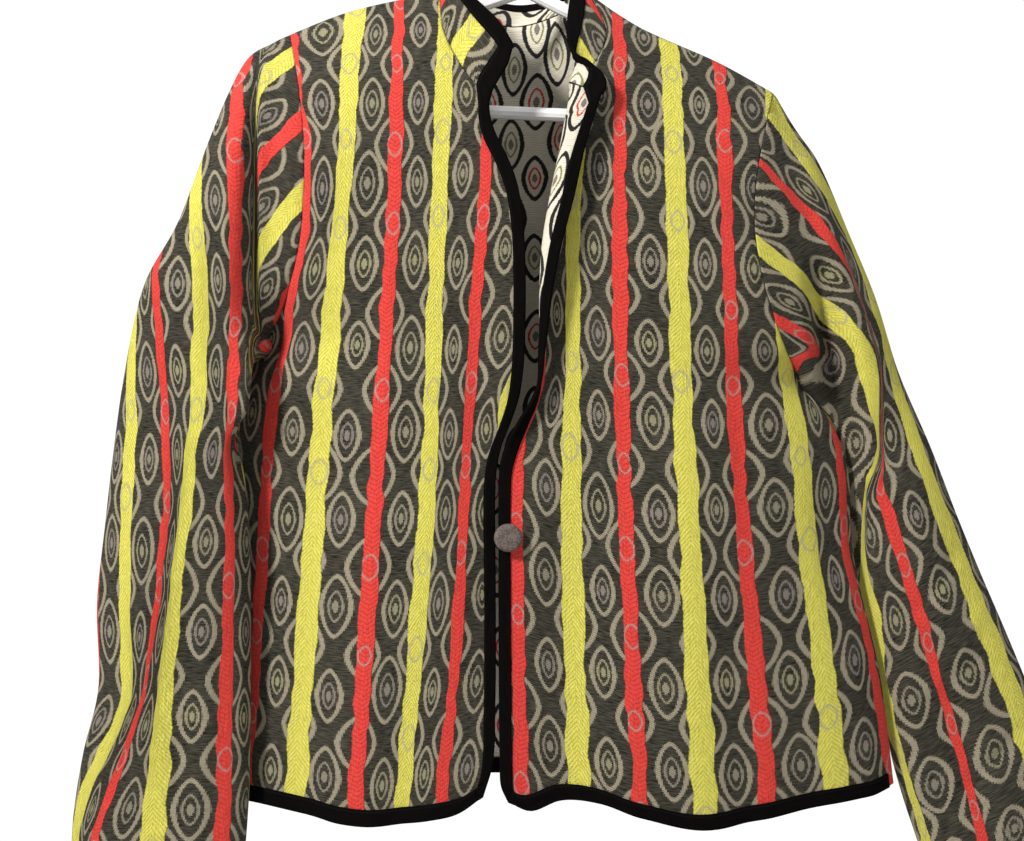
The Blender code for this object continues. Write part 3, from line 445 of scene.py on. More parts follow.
def body_wall(x, z, front):
    """Points of the front or back wall over places of the outline."""
    x, z = np.asarray(x, float), np.asarray(z, float)
    right, left, front_depth, back_depth = table_values(SIDES, z)
    middle = 0.5 * (right + left)
    reach = np.minimum(1.0, np.abs(x - middle) / (0.5 * (left - right)))
    side = 1.0 - reach ** (FRONT_SIDE_POWER if front else BACK_SIDE_POWER)
    below = np.maximum(0.0, np.interp(x, SHOULDER_LINE[:, 0], SHOULDER_LINE[:, 1]) - z)
    beside = np.zeros_like(x)
    if not front:
        beside = NECK_SPREAD * np.maximum(0.0, np.minimum(x - NECK_BACK[0][0], NECK_BACK[-1][0] - x))
    from_seam = np.minimum(1.0, np.hypot(below, beside) / SHOULDER_REACH)
    rise = 1.0 - (1.0 - from_seam) ** SHOULDER_POWER
    depth = (front_depth if front else back_depth) * side * rise
    folds = FRONT_FOLDS + FRONT_CREASES if front else BACK_FOLDS + BACK_CREASES
    lift = fold_height(folds, x, z) + ripple(x, z, 1 if front else 4)
    depth = depth + lift * np.minimum(1.0, 3.0 * side * rise)
    depth = np.maximum(depth, 0.0) + SEAM_HALF
    return np.stack([x, -depth if front else depth, z], axis=-1)


def right_front(x, z):
    return body_wall(x, z, True)


def left_front(x, z):
    """The left front, whose edge rolls outwards above the button."""
    x, z = np.asarray(x, float), np.asarray(z, float)
    start, turn, straight = table_values(ROLL_LEFT, z)
    flat = body_wall(x, z, True)
    base = body_wall(start, z, True)
    lift = body_wall(start + 2.0, z, True)
    slope = np.arctan2(base[..., 1] - lift[..., 1], 2.0)
    run = np.maximum(start - x, 0.0)
    arc = ROLL_RADIUS * np.radians(np.maximum(0.0, turn))
    angle = np.minimum(run, arc) / ROLL_RADIUS
    rest = np.maximum(0.0, run - arc)
    step_x = -ROLL_RADIUS * np.sin(angle) - rest * np.cos(angle)
    step_y = -ROLL_RADIUS * (1.0 - np.cos(angle)) - rest * np.sin(angle)
    cos, sin = np.cos(slope), np.sin(slope)
    across, forward = step_x * cos + step_y * sin, -step_x * sin + step_y * cos
    move = np.stack([across, forward, np.zeros_like(run)], axis=-1)
    return np.where((x >= start)[..., None], flat, base + move)


def back_wall(x, z):
    return body_wall(x, z, False)


def roll_edge():
    """The left front's free edge as it lies in the flat outline."""
    points = []
    for z, start, turn, straight in ROLL_LEFT:
        if z > ROLL_END:
            points.append((start - ROLL_RADIUS * math.radians(turn) - straight, z))
    return points + [ROLL_FOOT, HEM_LEFT[0]]


def coons(top, bottom, left, right, f, t):
    """Points of the patch between four boundary functions at arrays of fractions."""
    a, b = f[..., None], t[..., None]
    corners = (1 - a) * (1 - b) * left(0.0) + a * (1 - b) * right(0.0)
    corners = corners + (1 - a) * b * left(1.0) + a * b * right(1.0)
    return (1 - b) * top(f) + b * bottom(f) + (1 - a) * left(t) + a * right(t) - corners


def row_fractions():
    """Fractions down a body panel, with the binding's rows at the hem."""
    last = 1.0 - BINDING_WIDE / BODY_LENGTH
    head = np.arange(FINE_ROWS) / FINE_ROWS
    head = head[head < last - 0.002]
    return np.concatenate([head, np.linspace(last, 1.0, BINDING_COLUMNS + 1)])


def side_line(column, high, low):
    """Outline of the body along a side seam."""
    heights = np.linspace(high, low, 16)
    return list(zip(table_values(SIDES, heights)[column - 1], heights))


def seam_dip(distance, along):
    """Depth of the small valley beside a sewn seam, slightly puckered along it."""
    pucker = 1.0 + 0.25 * np.sin(along * 0.52) + 0.2 * np.sin(along * 0.23 + 1.0)
    return pucker * np.exp(-distance / 2.2)


def across_fractions(width, first_steps, last_steps, count):
    """Fractions across a row of a given width: close steps at both edges and even ones between."""
    first, last = first_steps / width, 1.0 - last_steps / width
    return np.concatenate([first, np.linspace(first[-1], last[0], count)[1:-1], last])


def panel(edges, first_steps, count, wall, outward):
    """Flat places and points of a body panel between its top, bottom, left and right edges."""
    left, right = edges[2:]
    rows = row_fractions()
    width = np.linalg.norm(left(rows) - right(rows), axis=1)
    f = np.array([across_fractions(w, first_steps, SEAM_STEPS, count) for w in width])
    flat = coons(*edges, f, np.repeat(rows[:, None], f.shape[1], axis=1))
    points = wall(flat[..., 0], flat[..., 1])
    from_seam = (1.0 - f if outward < 0 else np.minimum(f, 1.0 - f)) * width[:, None]
    room = np.maximum(outward * points[..., 1] - CLEARANCE, 0.0)
    points[..., 1] -= outward * np.minimum(seam_dip(from_seam, flat[..., 1]), room)
    return flat, points


def front_panel(shoulder, armhole, side, neck, edge, hem, wall, columns):
    """A front, from its free edge to its armhole and side seam."""
    left = chain(neck, edge, NECK_SHARE)
    right = chain(armhole, side_line(*side), ARMHOLE_SHARE)
    return panel((curve(shoulder), curve(hem), left, right), EDGE_STEPS, columns + 1, wall, -1)


def back_panel():
    """The back, from one armhole and side seam to the other."""
    right_top, middle_top = curve(SHOULDER_RIGHT[::-1]), curve(NECK_BACK)
    left_top = curve(SHOULDER_LEFT)
    share = BACK_SHOULDER_SHARE

    def top(f):
        f = np.asarray(f, float)
        first = right_top(np.clip(f / share, 0.0, 1.0))
        middle = middle_top(np.clip((f - share) / (1.0 - 2.0 * share), 0.0, 1.0))
        last = left_top(np.clip((f - 1.0 + share) / share, 0.0, 1.0))
        rest = np.where((f <= 1.0 - share)[..., None], middle, last)
        return np.where((f <= share)[..., None], first, rest)

    left = chain(ARMHOLE_RIGHT, side_line(*SIDE_RIGHT), ARMHOLE_SHARE)
    right = chain(ARMHOLE_LEFT, side_line(*SIDE_LEFT), ARMHOLE_SHARE)
    return panel((top, curve(HEM_BACK), left, right), SEAM_STEPS[::-1], BACK_COLUMNS, back_wall, 1)


def sleeve_folds(folds, x, z):
    """Sum of a sleeve's soft folds, which fade out at both ends."""
    total = np.zeros_like(x)
    for top_x, top_z, low_x, low_z, height, half in folds:
        run = (top_z - z) / (top_z - low_z)
        middle = top_x + (low_x - top_x) * run
        fade = np.sin(math.pi * np.clip(run, 0.0, 1.0)) ** 0.7
        total += height * fade * np.exp(-((x - middle) / half) ** 2)
    return total


def sleeve_turns():
    """Angles round a sleeve from the underarm seam over the back and the outer fold to the seam again."""
    return np.linspace(-math.pi, math.pi, SLEEVE_COLUMNS + 1)


def armhole_ring(armhole, outward):
    """First ring of a sleeve, just outside the armhole."""
    turns = sleeve_turns()
    step = np.abs(turns) / math.pi
    at = curve(armhole)
    points = at(step)
    ahead, behind = at(np.minimum(1.0, step + 0.01)), at(np.maximum(0.0, step - 0.01))
    slope = ahead - behind
    slope /= np.linalg.norm(slope, axis=1)[:, None]
    across = np.stack([slope[:, 1], -slope[:, 0]], axis=1)
    middle = int(0.75 * SLEEVE_COLUMNS)
    across *= np.sign(across[middle, 0]) * outward
    low = np.maximum(0.0, step - 0.5) / 0.5
    ends = np.exp(-np.minimum(step, 1.0 - step) * COARSE_HALF * 2.0)
    stand = CLEARANCE + low + ends
    x, z = (points + across * stand[:, None]).T
    ring = np.where((turns >= 0)[:, None], right_front(x, z), back_wall(x, z))
    tip = np.minimum(1.0, np.minimum(step, 1.0 - step) * COARSE_HALF)
    ring[:, 1] *= tip
    return ring


def oval_ring(outer_x, outer_z, inner_x, inner_z, middle_y, half_depth):
    """A ring of the sleeve from one row of its table."""
    turns = sleeve_turns()
    share = 0.5 + 0.5 * np.cos(turns)
    x = inner_x + (outer_x - inner_x) * share
    z = inner_z + (outer_z - inner_z) * share
    return np.stack([x, middle_y - half_depth * np.sin(turns), z], axis=-1)


def sleeve_panel(armhole, rows, folds, outward, seed, tucks):
    """Points of a sleeve in rings from the armhole to the cuff, and each ring's place in the table."""
    first = armhole_ring(armhole, outward)
    half = SLEEVE_COLUMNS // 2
    plain = oval_ring(*first[half][[0, 2]], *first[0][[0, 2]], 0.0, rows[0][5])
    keys = [first]
    for number, row in enumerate(rows):
        fade = max(0.0, 1.0 - (number + 1) / 5.0)
        keys.append(oval_ring(*row) + (first - plain) * fade)
    keys = np.array(keys)
    places = np.linspace(0.0, len(keys) - 1.0, SLEEVE_ROWS)
    near = np.array([0.0, 0.08, 0.16, 0.3, 0.45])
    end = len(keys) - 1.0
    cuff = end - np.linspace(1.0, 0.0, BINDING_COLUMNS + 1)
    places = np.concatenate([near, places[(places > 0.55) & (places < end - 1.04)], cuff])
    index = np.clip(np.floor(places).astype(int), 0, len(keys) - 2)
    slopes = np.gradient(keys, axis=0)
    points = cubic(keys, slopes, index, 1.0, (places - index)[:, None, None])
    turns = sleeve_turns()
    strength = np.minimum(1.0, places / 3.0)[:, None]
    x, z = points[..., 0], points[..., 2]
    front = sleeve_folds(folds, x, z)
    back = sleeve_folds(BACK_FOLDS_SLEEVE + BACK_CREASES_SLEEVE, x, z)
    lift = np.where(turns >= 0, front, back) + ripple(x, z, seed)
    points[..., 1] -= lift * strength * np.sin(turns)
    for shift, height, tall, turn, wide, limit in tucks:
        share = np.exp(-((z - height) / tall) ** 2) * np.exp(-((turns / math.pi - turn) / wide) ** 2)
        moved = points[..., 0] + shift * share
        if shift > 0:
            points[..., 0] = np.maximum(points[..., 0], np.minimum(moved, limit))
        else:
            points[..., 0] = np.minimum(points[..., 0], np.maximum(moved, limit))
    drop = np.cumsum(np.linalg.norm(np.diff(points, axis=0, prepend=points[:1]), axis=2), axis=0)
    centre = points.mean(axis=1, keepdims=True)
    away = points - centre
    away[..., 2] = 0.0
    away /= np.maximum(np.linalg.norm(away, axis=2), 1.0)[..., None]
    points -= away * (seam_dip(drop, points[..., 2] + points[..., 0]) * 0.9)[..., None]
    return places, points


def neck_seam():
    """Loop of the collar's lower edge, just clear of the panels' neck edges."""
    points = []
    neck = curve(NECK_RIGHT)(np.linspace(1.0, 0.07, 9))
    for x, z in neck:
        points.append(right_front(x + COLLAR_GAP, z + 0.5 * COLLAR_GAP))
    points.append(np.array([NECK_RIGHT[0][0] + COLLAR_GAP, 0.0, NECK_RIGHT[0][1] + COLLAR_GAP]))
    for x, z in curve(NECK_BACK)(np.linspace(0.04, 0.95, 13)):
        points.append(back_wall(x, z + COLLAR_GAP))
    points.append(np.array([NECK_LEFT[0][0] - 1.2 * COLLAR_GAP, 0.0, NECK_LEFT[0][1] + COLLAR_GAP]))
    for x, z in curve(NECK_LEFT)(np.linspace(0.08, 1.0, 12)):
        points.append(left_front(x - 1.2 * COLLAR_GAP, z + 0.8 * COLLAR_GAP))
    return points


def collar_panel():
    """Fractions along the collar and its points."""
    seam = neck_seam()
    bottom, top = curve(seam), curve(COLLAR_TOP)
    left = curve([seam[0]] + [np.array(point, float) for point in COLLAR_END_RIGHT])
    ends = COLLAR_END_LEFT[::-1] + [COLLAR_TOP[-1]]
    right = curve([seam[-1]] + [np.array(point, float) for point in ends])
    end = BINDING_WIDE / COLLAR_LENGTH
    between = end + (1.0 - 2.0 * end) * np.linspace(0.0, 1.0, COLLAR_COLUMNS) ** 0.8
    edge = np.linspace(0.0, end, BINDING_COLUMNS + 1)
    other = np.linspace(1.0 - end, 1.0, BINDING_COLUMNS + 1)
    steps = np.concatenate([edge, between[1:-1], other])
    low, high = np.linspace(0.0, 0.7, COLLAR_ROWS), np.linspace(0.7, 1.0, BINDING_COLUMNS + 1)
    rows = np.concatenate([low, high[1:]])
    f = np.repeat(steps[None, :], len(rows), axis=0)
    t = np.repeat(rows[:, None], len(steps), axis=1)
    return f, coons(bottom, top, left, right, f, t)


def arc_lengths(points, axis):
    """Lengths along a grid's rows or columns."""
    steps = np.linalg.norm(np.diff(points, axis=axis), axis=-1)
    pad = [(0, 0), (0, 0)]
    pad[axis] = (1, 0)
    return np.pad(np.cumsum(steps, axis=axis), pad)


def line_tables(lines):
    """The stripe lines as arrays, each from its lowest point up."""
    return [np.array(sorted(line, key=lambda row: row[1]), float) for line in lines]


def stripe_places(flat, points, lines, backwards=False):
    """Place across the stripes of every grid point, so that each stripe runs along its line."""
    length = arc_lengths(points, 1)
    places = np.zeros_like(length)
    tables = line_tables(lines)
    for i in range(len(flat)):
        at, value = [], []
        for table in tables:
            x = np.interp(flat[i, :, 1], table[:, 1], table[:, 0])
            side = (flat[i, :, 0] - x) * (-1.0 if backwards else 1.0)
            if side[0] > 0:
                where = length[i, 0] - side[0]
            elif side[-1] < 0:
                where = length[i, -1] - side[-1]
            else:
                k = max(int(np.argmax(side >= 0)), 1)
                share = side[k - 1] / (side[k - 1] - side[k]) if side[k] != side[k - 1] else 0.0
                where = length[i, k - 1] + share * (length[i, k] - length[i, k - 1])
            k = int(np.clip(np.searchsorted(length[i], where), 0, flat.shape[1] - 1))
            at.append(where)
            value.append(np.interp(flat[i, k, 1], table[:, 1], table[:, 2]))
        order = np.argsort(value)
        at = np.maximum.accumulate(np.array(at)[order] + np.arange(len(order)) * 0.05)
        value = np.array(value)[order]
        inside = np.interp(length[i], at, value)
        inside = np.where(length[i] < at[0], value[0] - (at[0] - length[i]), inside)
        places[i] = np.where(length[i] > at[-1], value[-1] + length[i] - at[-1], inside)
    return places


def smooth_rows(values, passes):
    """Values evened out down a grid, with both ends kept."""
    for _ in range(passes):
        inner = 0.25 * values[:-2] + 0.5 * values[1:-1] + 0.25 * values[2:]
        values = np.concatenate([values[:1], inner, values[-1:]])
    return values


def add_item(name, data):
    """Object in the scene for a mesh, a light or a camera."""
    item = bpy.data.objects.new(name, data)
    bpy.context.scene.collection.objects.link(item)
    return item


def thicken(item, thickness):
    """Gives a thin sheet its thickness, half to each side."""
    solid = item.modifiers.new("thickness", "SOLIDIFY")
    solid.thickness = thickness * MM
    solid.offset = 0.0
    return solid


def mesh_of(name, points, faces, places):
    """Mesh with smooth shading, and its cloth places as UV in metres."""
    mesh = bpy.data.meshes.new(name)
    mesh.from_pydata((points.reshape(-1, 3) * MM).tolist(), [], faces.tolist())
    mesh.update()
    mesh.shade_smooth()
    layer = mesh.uv_layers.new(name="cloth")
    corner = np.zeros(len(mesh.loops), int)
    mesh.loops.foreach_get("vertex_index", corner)
    layer.data.foreach_set("uv", (places.reshape(-1, 2)[corner] * MM).astype(np.float32).ravel())
    return mesh


def grid_faces(rows, columns, flipped):
    i, j = np.meshgrid(np.arange(rows - 1), np.arange(columns - 1), indexing="ij")
    a = (i * columns + j).ravel()
    faces = np.stack([a, a + 1, a + columns + 1, a + columns], axis=1)
    return faces if flipped else faces[:, ::-1]


def cloth_piece(name, points, places, materials, flipped):
    """A thin shell on the solid's form: outside cloth on one face, inside cloth on the other."""
    mesh = mesh_of(name, points, grid_faces(*points.shape[:2], flipped), places)
    item = add_item(name, mesh)
    for finish in materials:
        mesh.materials.append(finish)
    solid = thicken(item, CLOTH)
    solid.material_offset = 1
    # the cut rim of every piece takes the third material, a near-black painted seam shade
    solid.material_offset_rim = 2
    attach(item, "root")
    return item


def normals_of(points):
    """Unit normals of a grid of points."""
    across = np.gradient(points, axis=1)
    down = np.gradient(points, axis=0)
    normal = np.cross(across, down)
    return normal / np.maximum(np.linalg.norm(normal, axis=2), 1e-9)[..., None]


def trim(name, strip, finish):
    """Binding folded over an edge, from a strip of points and normals that ends at the edge."""
    layers, places = [], []
    points, normals = strip
    count = points.shape[1]
    edge = points[:, -1]
    out = edge - points[:, -2]
    out /= np.linalg.norm(out, axis=1)[:, None]
    length = path_lengths(edge)
    for k in range(count):
        layers.append(points[:, k] + normals[:, k] * BINDING_STAND)
        places.append(-(count - 1 - k) * TAPE_STEP)
    for turn in (60, 30, 0, -30, -60):
        angle = math.radians(turn)
        ahead = out * BINDING_OUT * math.cos(angle)
        layers.append(edge + ahead + normals[:, -1] * BINDING_STAND * math.sin(angle))
        places.append((60 - turn) / 60.0)
    for k in range(count - 1, -1, -1):
        layers.append(points[:, k] - normals[:, k] * BINDING_STAND)
        places.append(2.0 + (count - 1 - k) * TAPE_STEP)
    grid = np.stack(layers, axis=1)
    spread = np.stack(np.meshgrid(places, length), axis=-1)
    mesh = mesh_of(name, grid, grid_faces(*grid.shape[:2], False), spread)
    item = add_item(name, mesh)
    mesh.materials.append(finish)
    thicken(item, BINDING)
    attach(item, "root")
    return item


def pick(points, places):
    """Points and normals of a grid at rows and columns."""
    normals = normals_of(points)
    rows, columns = np.array(places).transpose(2, 0, 1)
    return points[rows, columns], normals[rows, columns]


def front_strip(points, first_row, skip):
    """Strip of a front's edge binding: down the front edge, round the corner and along the hem."""
    rows, columns = points.shape[:2]
    wide = BINDING_COLUMNS
    steps = range(wide + 1)
    hem_row = rows - 1 - wide
    down = [[(i, wide - k) for k in steps] for i in range(first_row, rows - wide)]
    corner = []
    for step in range(1, wide):
        corner.append([(hem_row + round(step * k / wide), wide - k) for k in steps])
    for step in range(wide, 0, -1):
        corner.append([(hem_row + k, wide - round(step * k / wide)) for k in steps])
    hem = [[(hem_row + k, j) for k in steps] for j in range(wide, columns - skip)]
    return pick(points, down + corner + hem)


def hem_strip(points, skip):
    """Strip of the binding along a panel's lowest edge."""
    rows, columns = points.shape[:2]
    hem_row = rows - 1 - BINDING_COLUMNS
    steps = range(BINDING_COLUMNS + 1)
    return pick(points, [[(hem_row + k, j) for k in steps] for j in range(skip, columns - skip)])


def collar_strip(points):
    """Strip of the collar's binding: up one end, along the top and down the other end."""
    rows, columns = points.shape[:2]
    wide = BINDING_COLUMNS
    steps = range(wide + 1)
    top, side = rows - 1 - wide, columns - 1 - wide
    up = [[(i, wide - k) for k in steps] for i in range(rows - wide)]
    corner = [[(top + k, wide - k) for k in steps]]
    along = [[(top + k, j) for k in steps] for j in range(wide, columns - wide)]
    turn = [[(top + k, side + k) for k in steps]]
    down = [[(i, side + k) for k in steps] for i in range(top, -1, -1)]
    return pick(points, up + corner + along + turn + down)


def bridged(strip, collar, end):
    """A front's strip, carried on over the end of the collar's strip, so that the tape runs through."""
    points, normals = strip
    rungs = slice(0, 4) if end == 0 else slice(-1, -5, -1)
    more, facing = collar[0][rungs][::-1], collar[1][rungs][::-1]
    if np.sum(facing[-1] * normals[0]) < 0:
        facing = -facing
    return np.concatenate([more, points]), np.concatenate([facing * BINDING_OVERLAP, normals])


class Value:
    """A number that a material's nodes work out, so that it can be used in plain sums."""

    def __init__(self, graph, socket):
        self.graph = graph
        self.socket = socket

    def times(self, factor, plus, clamp=False):
        return self.graph.math("MULTIPLY_ADD", self, factor, plus, clamp=clamp)

    def sine(self):
        return self.graph.math("SINE", self)

    def __add__(self, other):
        return self.graph.math("ADD", self, other)

    def __sub__(self, other):
        return self.graph.math("SUBTRACT", self, other)

    def __rsub__(self, other):
        return self.graph.math("SUBTRACT", other, self)

    def __mul__(self, other):
        return self.graph.math("MULTIPLY", self, other)

    def __truediv__(self, other):
        return self.graph.math("DIVIDE", self, other)

    def __rtruediv__(self, other):
        return self.graph.math("DIVIDE", other, self)

    def __pow__(self, other):
        return self.graph.math("POWER", self, other)

    def __gt__(self, other):
        return self.graph.math("GREATER_THAN", self, other)

    def __lt__(self, other):
        return self.graph.math("LESS_THAN", self, other)

    def __abs__(self):
        return self.graph.math("ABSOLUTE", self)


class Graph:
    """Short calls that build a material's nodes."""

    def __init__(self, name):
        self.material = bpy.data.materials.new(name)
        self.material.use_nodes = True
        self.nodes = self.material.node_tree.nodes
        self.links = self.material.node_tree.links
        self.shader = self.nodes["Principled BSDF"]

    def put(self, socket, value):
        if isinstance(value, Value):
            value = value.socket
        if isinstance(value, bpy.types.NodeSocket):
            self.links.new(value, socket)
        else:
            socket.default_value = value

    def math(self, operation, *values, clamp=False):
        node = self.nodes.new("ShaderNodeMath")
        node.operation = operation
        node.use_clamp = clamp
        for socket, value in zip(node.inputs, values):
            self.put(socket, value)
        return Value(self, node.outputs[0])

    def most(self, first, second):
        return self.math("MAXIMUM", first, second)

    def mix(self, share, first, second):
        node = self.nodes.new("ShaderNodeMix")
        node.data_type = "RGBA"
        self.put(node.inputs[0], share)
        for socket, value in ((node.inputs[6], first), (node.inputs[7], second)):
            self.put(socket, value if isinstance(value, bpy.types.NodeSocket) else (*value, 1.0))
        return node.outputs[2]

    def vector(self, x, y, z=0.0):
        node = self.nodes.new("ShaderNodeCombineXYZ")
        for socket, value in zip(node.inputs, (x, y, z)):
            self.put(socket, value)
        return node.outputs[0]

    def noise(self, place, detail, scale=1.0):
        node = self.nodes.new("ShaderNodeTexNoise")
        self.put(node.inputs["Vector"], place)
        node.inputs["Scale"].default_value = scale
        node.inputs["Detail"].default_value = detail
        return Value(self, node.outputs["Fac"])

    def cloth_noise(self, first, second, scales, seed=0.0, detail=2.0):
        """Noise over two cloth places, each at its own scale."""
        return self.noise(self.vector(first * scales[0], second * scales[1], seed), detail)

    def solid_noise(self, detail, scale):
        """Noise through the object itself."""
        node = self.nodes.new("ShaderNodeTexCoord")
        return self.noise(node.outputs["Object"], detail, scale)

    def white(self, place):
        node = self.nodes.new("ShaderNodeTexWhiteNoise")
        node.noise_dimensions = "2D"
        self.put(node.inputs["Vector"], place)
        split = self.nodes.new("ShaderNodeSeparateColor")
        self.links.new(node.outputs["Color"], split.inputs[0])
        return [Value(self, socket) for socket in split.outputs]

    def cloth(self):
        """Cloth places in millimetres."""
        node = self.nodes.new("ShaderNodeUVMap")
        node.uv_map = "cloth"
        split = self.nodes.new("ShaderNodeSeparateXYZ")
        self.links.new(node.outputs[0], split.inputs[0])
        return [Value(self, split.outputs[k]) * (1.0 / MM) for k in range(2)]

    def bump(self, height, distance):
        node = self.nodes.new("ShaderNodeBump")
        node.inputs["Distance"].default_value = distance
        node.inputs["Strength"].default_value = 1.0
        self.put(node.inputs["Height"], height)
        self.links.new(node.outputs[0], self.shader.inputs["Normal"])

    def finish(self, colour, roughness, sheen=0.0, specular=0.15):
        self.put(self.shader.inputs["Base Color"], colour)
        self.shader.inputs["Roughness"].default_value = roughness
        self.shader.inputs["Sheen Weight"].default_value = sheen
        self.shader.inputs["Specular IOR Level"].default_value = specular
        return self.material


def lozenges(g, u, v, half_u, half_v, shift_u, shift_v):
    """Rounded lozenges on a lattice: how far out a place is, its distance and the cell's own numbers."""
    column = g.math("ROUND", (u - shift_u) / MOTIF_ACROSS)
    x = (u - shift_u) - column * MOTIF_ACROSS
    row = g.math("ROUND", (v - shift_v) / MOTIF_DOWN)
    y = (v - shift_v) - row * MOTIF_DOWN
    own = g.white(g.vector(column + (shift_u + 3.7), row + (shift_v + 1.3)))
    size = own[0].times(0.36, 0.76)
    y = y + own[1].times(8.0, -4.0)
    x = x + own[2].times(3.0, -1.5)
    across = (abs(x) / half_u) ** MOTIF_POWER
    tall = (abs(y) / half_v) ** MOTIF_POWER
    out = (across + tall) ** (1.0 / MOTIF_POWER)
    return g.most(out / size, 0.001), g.math("SQRT", x * x + y * y), own


def beyond(motif, scale):
    """Distance of a place from the lozenge's line at a share of its size."""
    out, far, own = motif
    return far * (1.0 - scale / out)


def ring(motif, scale, thick, soft=0.55):
    """Band of a given thickness just inside that line."""
    away = abs(beyond(motif, scale).times(0.9, thick / 2))
    return away.times(-1.0 / soft, thick / 2 / soft + 0.5, clamp=True)


def core(motif, scale, soft=0.55):
    return beyond(motif, scale).times(-1.0 / soft, 0.5, clamp=True)


def stripe(g, u, v, middle, half, seed):
    """A stripe of long yarn floats with uneven edges: its cover and the distance from its middle."""
    sway = g.noise(g.vector(v * 0.045, seed), 1.0)
    place = g.math("WRAP", u - middle, REPEAT / 2, -REPEAT / 2) + sway.times(6.0, -3.0)
    breadth = g.cloth_noise(v, u, (0.02, 0.01), seed + 5.0, 1.0)
    ragged = g.cloth_noise(v, u, (0.5, 0.15), seed)
    edge = ragged.times(1.6, breadth.times(4.0, half - 2.8))
    return (edge - abs(place)).times(1.6, 0.5, clamp=True), place


def outside_cloth():
    """Charcoal double weave with yellow and red float stripes and generic rounded lozenges."""
    g = Graph("outside_cloth")
    u, v = g.cloth()
    jitter = g.cloth_noise(u, v, (0.9, 0.9), detail=1.0)
    u_rough = g.math("SNAP", u + jitter.times(1.2, -0.6), YARN)
    v_rough = g.math("SNAP", v + jitter.times(-1.2, 0.6), YARN)
    streak = g.cloth_noise(u, v, (0.16, 1.1), detail=3.0)
    cloud = g.cloth_noise(u, v, (0.03, 0.03), 4.0, 3.0)
    tone = cloud.times(0.5, streak.times(2.1, -0.95), clamp=True)
    colour = g.mix(tone, (0.007, 0.0062, 0.004), (0.085, 0.077, 0.055))
    gap = lozenges(g, u_rough, v_rough, 10.8, 22.5, *GAP_SHIFT)
    under = lozenges(g, u_rough, v_rough, 14.0, 21.0, *UNDER_SHIFT)
    bands = g.most(ring(gap, 1.0, 2.9), ring(under, 1.0, 2.9))
    colour = g.mix(bands, colour, g.mix(streak, (0.17, 0.145, 0.10), (0.34, 0.30, 0.215)))
    small = g.most(ring(gap, 0.5, 1.5), core(gap, 0.2))
    colour = g.mix(small, colour, g.mix(gap[2][2], (0.17, 0.145, 0.135), (0.25, 0.235, 0.13)))
    yellow, yellow_at = stripe(g, u, v, 0.0, YELLOW_HALF, 2.0)
    red, red_at = stripe(g, u, v, REPEAT / 2, RED_HALF, 7.0)
    fibre = g.cloth_noise(u, v, (0.85, 0.13), 3.0, 3.0)
    strand = g.cloth_noise(u, v, (2.2, 0.5), 8.0)
    dark = strand.times(-6.0, 2.3, clamp=True)
    slope = abs(yellow_at * yellow + red_at) * 1.3
    braid = v.times(TURN / BRAID, fibre.times(7.0, slope)).sine()
    ties = braid.times(1.6, -0.85, clamp=True)
    worn = g.most(dark, ties)
    yellow_tone = g.mix(fibre, (0.35, 0.32, 0.035), (0.78, 0.73, 0.145))
    yellow_tone = g.mix(worn * 0.42, yellow_tone, (0.17, 0.15, 0.03))
    red_tone = g.mix(fibre, (0.42, 0.022, 0.018), (0.76, 0.068, 0.053))
    red_tone = g.mix(worn * 0.3, red_tone, (0.16, 0.01, 0.01))
    mark = ring(under, 0.42, 1.1, 0.8) * (under[2][2] > 0.35)
    colour = g.mix(red, g.mix(yellow, colour, yellow_tone), red_tone)
    floats = g.most(yellow, red)
    colour = g.mix(mark * floats * 0.75, colour, (0.30, 0.27, 0.24))
    rib = v.times(TURN / 1.3, u * (TURN / 1.9)).sine()
    ground = rib.times(0.16, streak * 0.7) + bands * 0.2
    swell = fibre.times(1.1, 0.9) + strand * 0.5 - g.most(mark, ties) * 0.6
    g.bump(ground * (1.0 - floats) + swell * floats, 0.7 * MM)
    return g.finish(colour, 0.86, 0.03)


def inside_cloth():
    """Cream face of the double weave with black lozenges that have red or olive rings."""
    g = Graph("inside_cloth")
    u, v = g.cloth()
    jitter = g.cloth_noise(u, v, (0.7, 0.7), detail=1.0)
    u_rough = u + jitter.times(1.6, -0.8)
    v_rough = v + jitter.times(-1.6, 0.8)
    streak = g.cloth_noise(u, v, (0.12, 1.0), detail=3.0)
    colour = g.mix(streak, (0.46, 0.42, 0.33), (0.72, 0.68, 0.57))
    gap = lozenges(g, u_rough, v_rough, 11.5, 23.0, *GAP_SHIFT)
    under = lozenges(g, u_rough, v_rough, 12.5, 21.0, *UNDER_SHIFT)
    for motif in (gap, under):
        tint = g.mix(motif[2][2] > 0.5, (0.52, 0.03, 0.03), (0.19, 0.19, 0.06))
        colour = g.mix(ring(motif, 0.5, 1.6), colour, tint)
        colour = g.mix(core(motif, 0.2) * 0.8, colour, (0.06, 0.05, 0.05))
        colour = g.mix(ring(motif, 1.0, 3.4), colour, (0.012, 0.012, 0.012))
    rib = (v * (TURN / 1.4)).sine()
    g.bump(rib.times(0.25, streak), 0.5 * MM)
    return g.finish(colour, 0.85, 0.1)


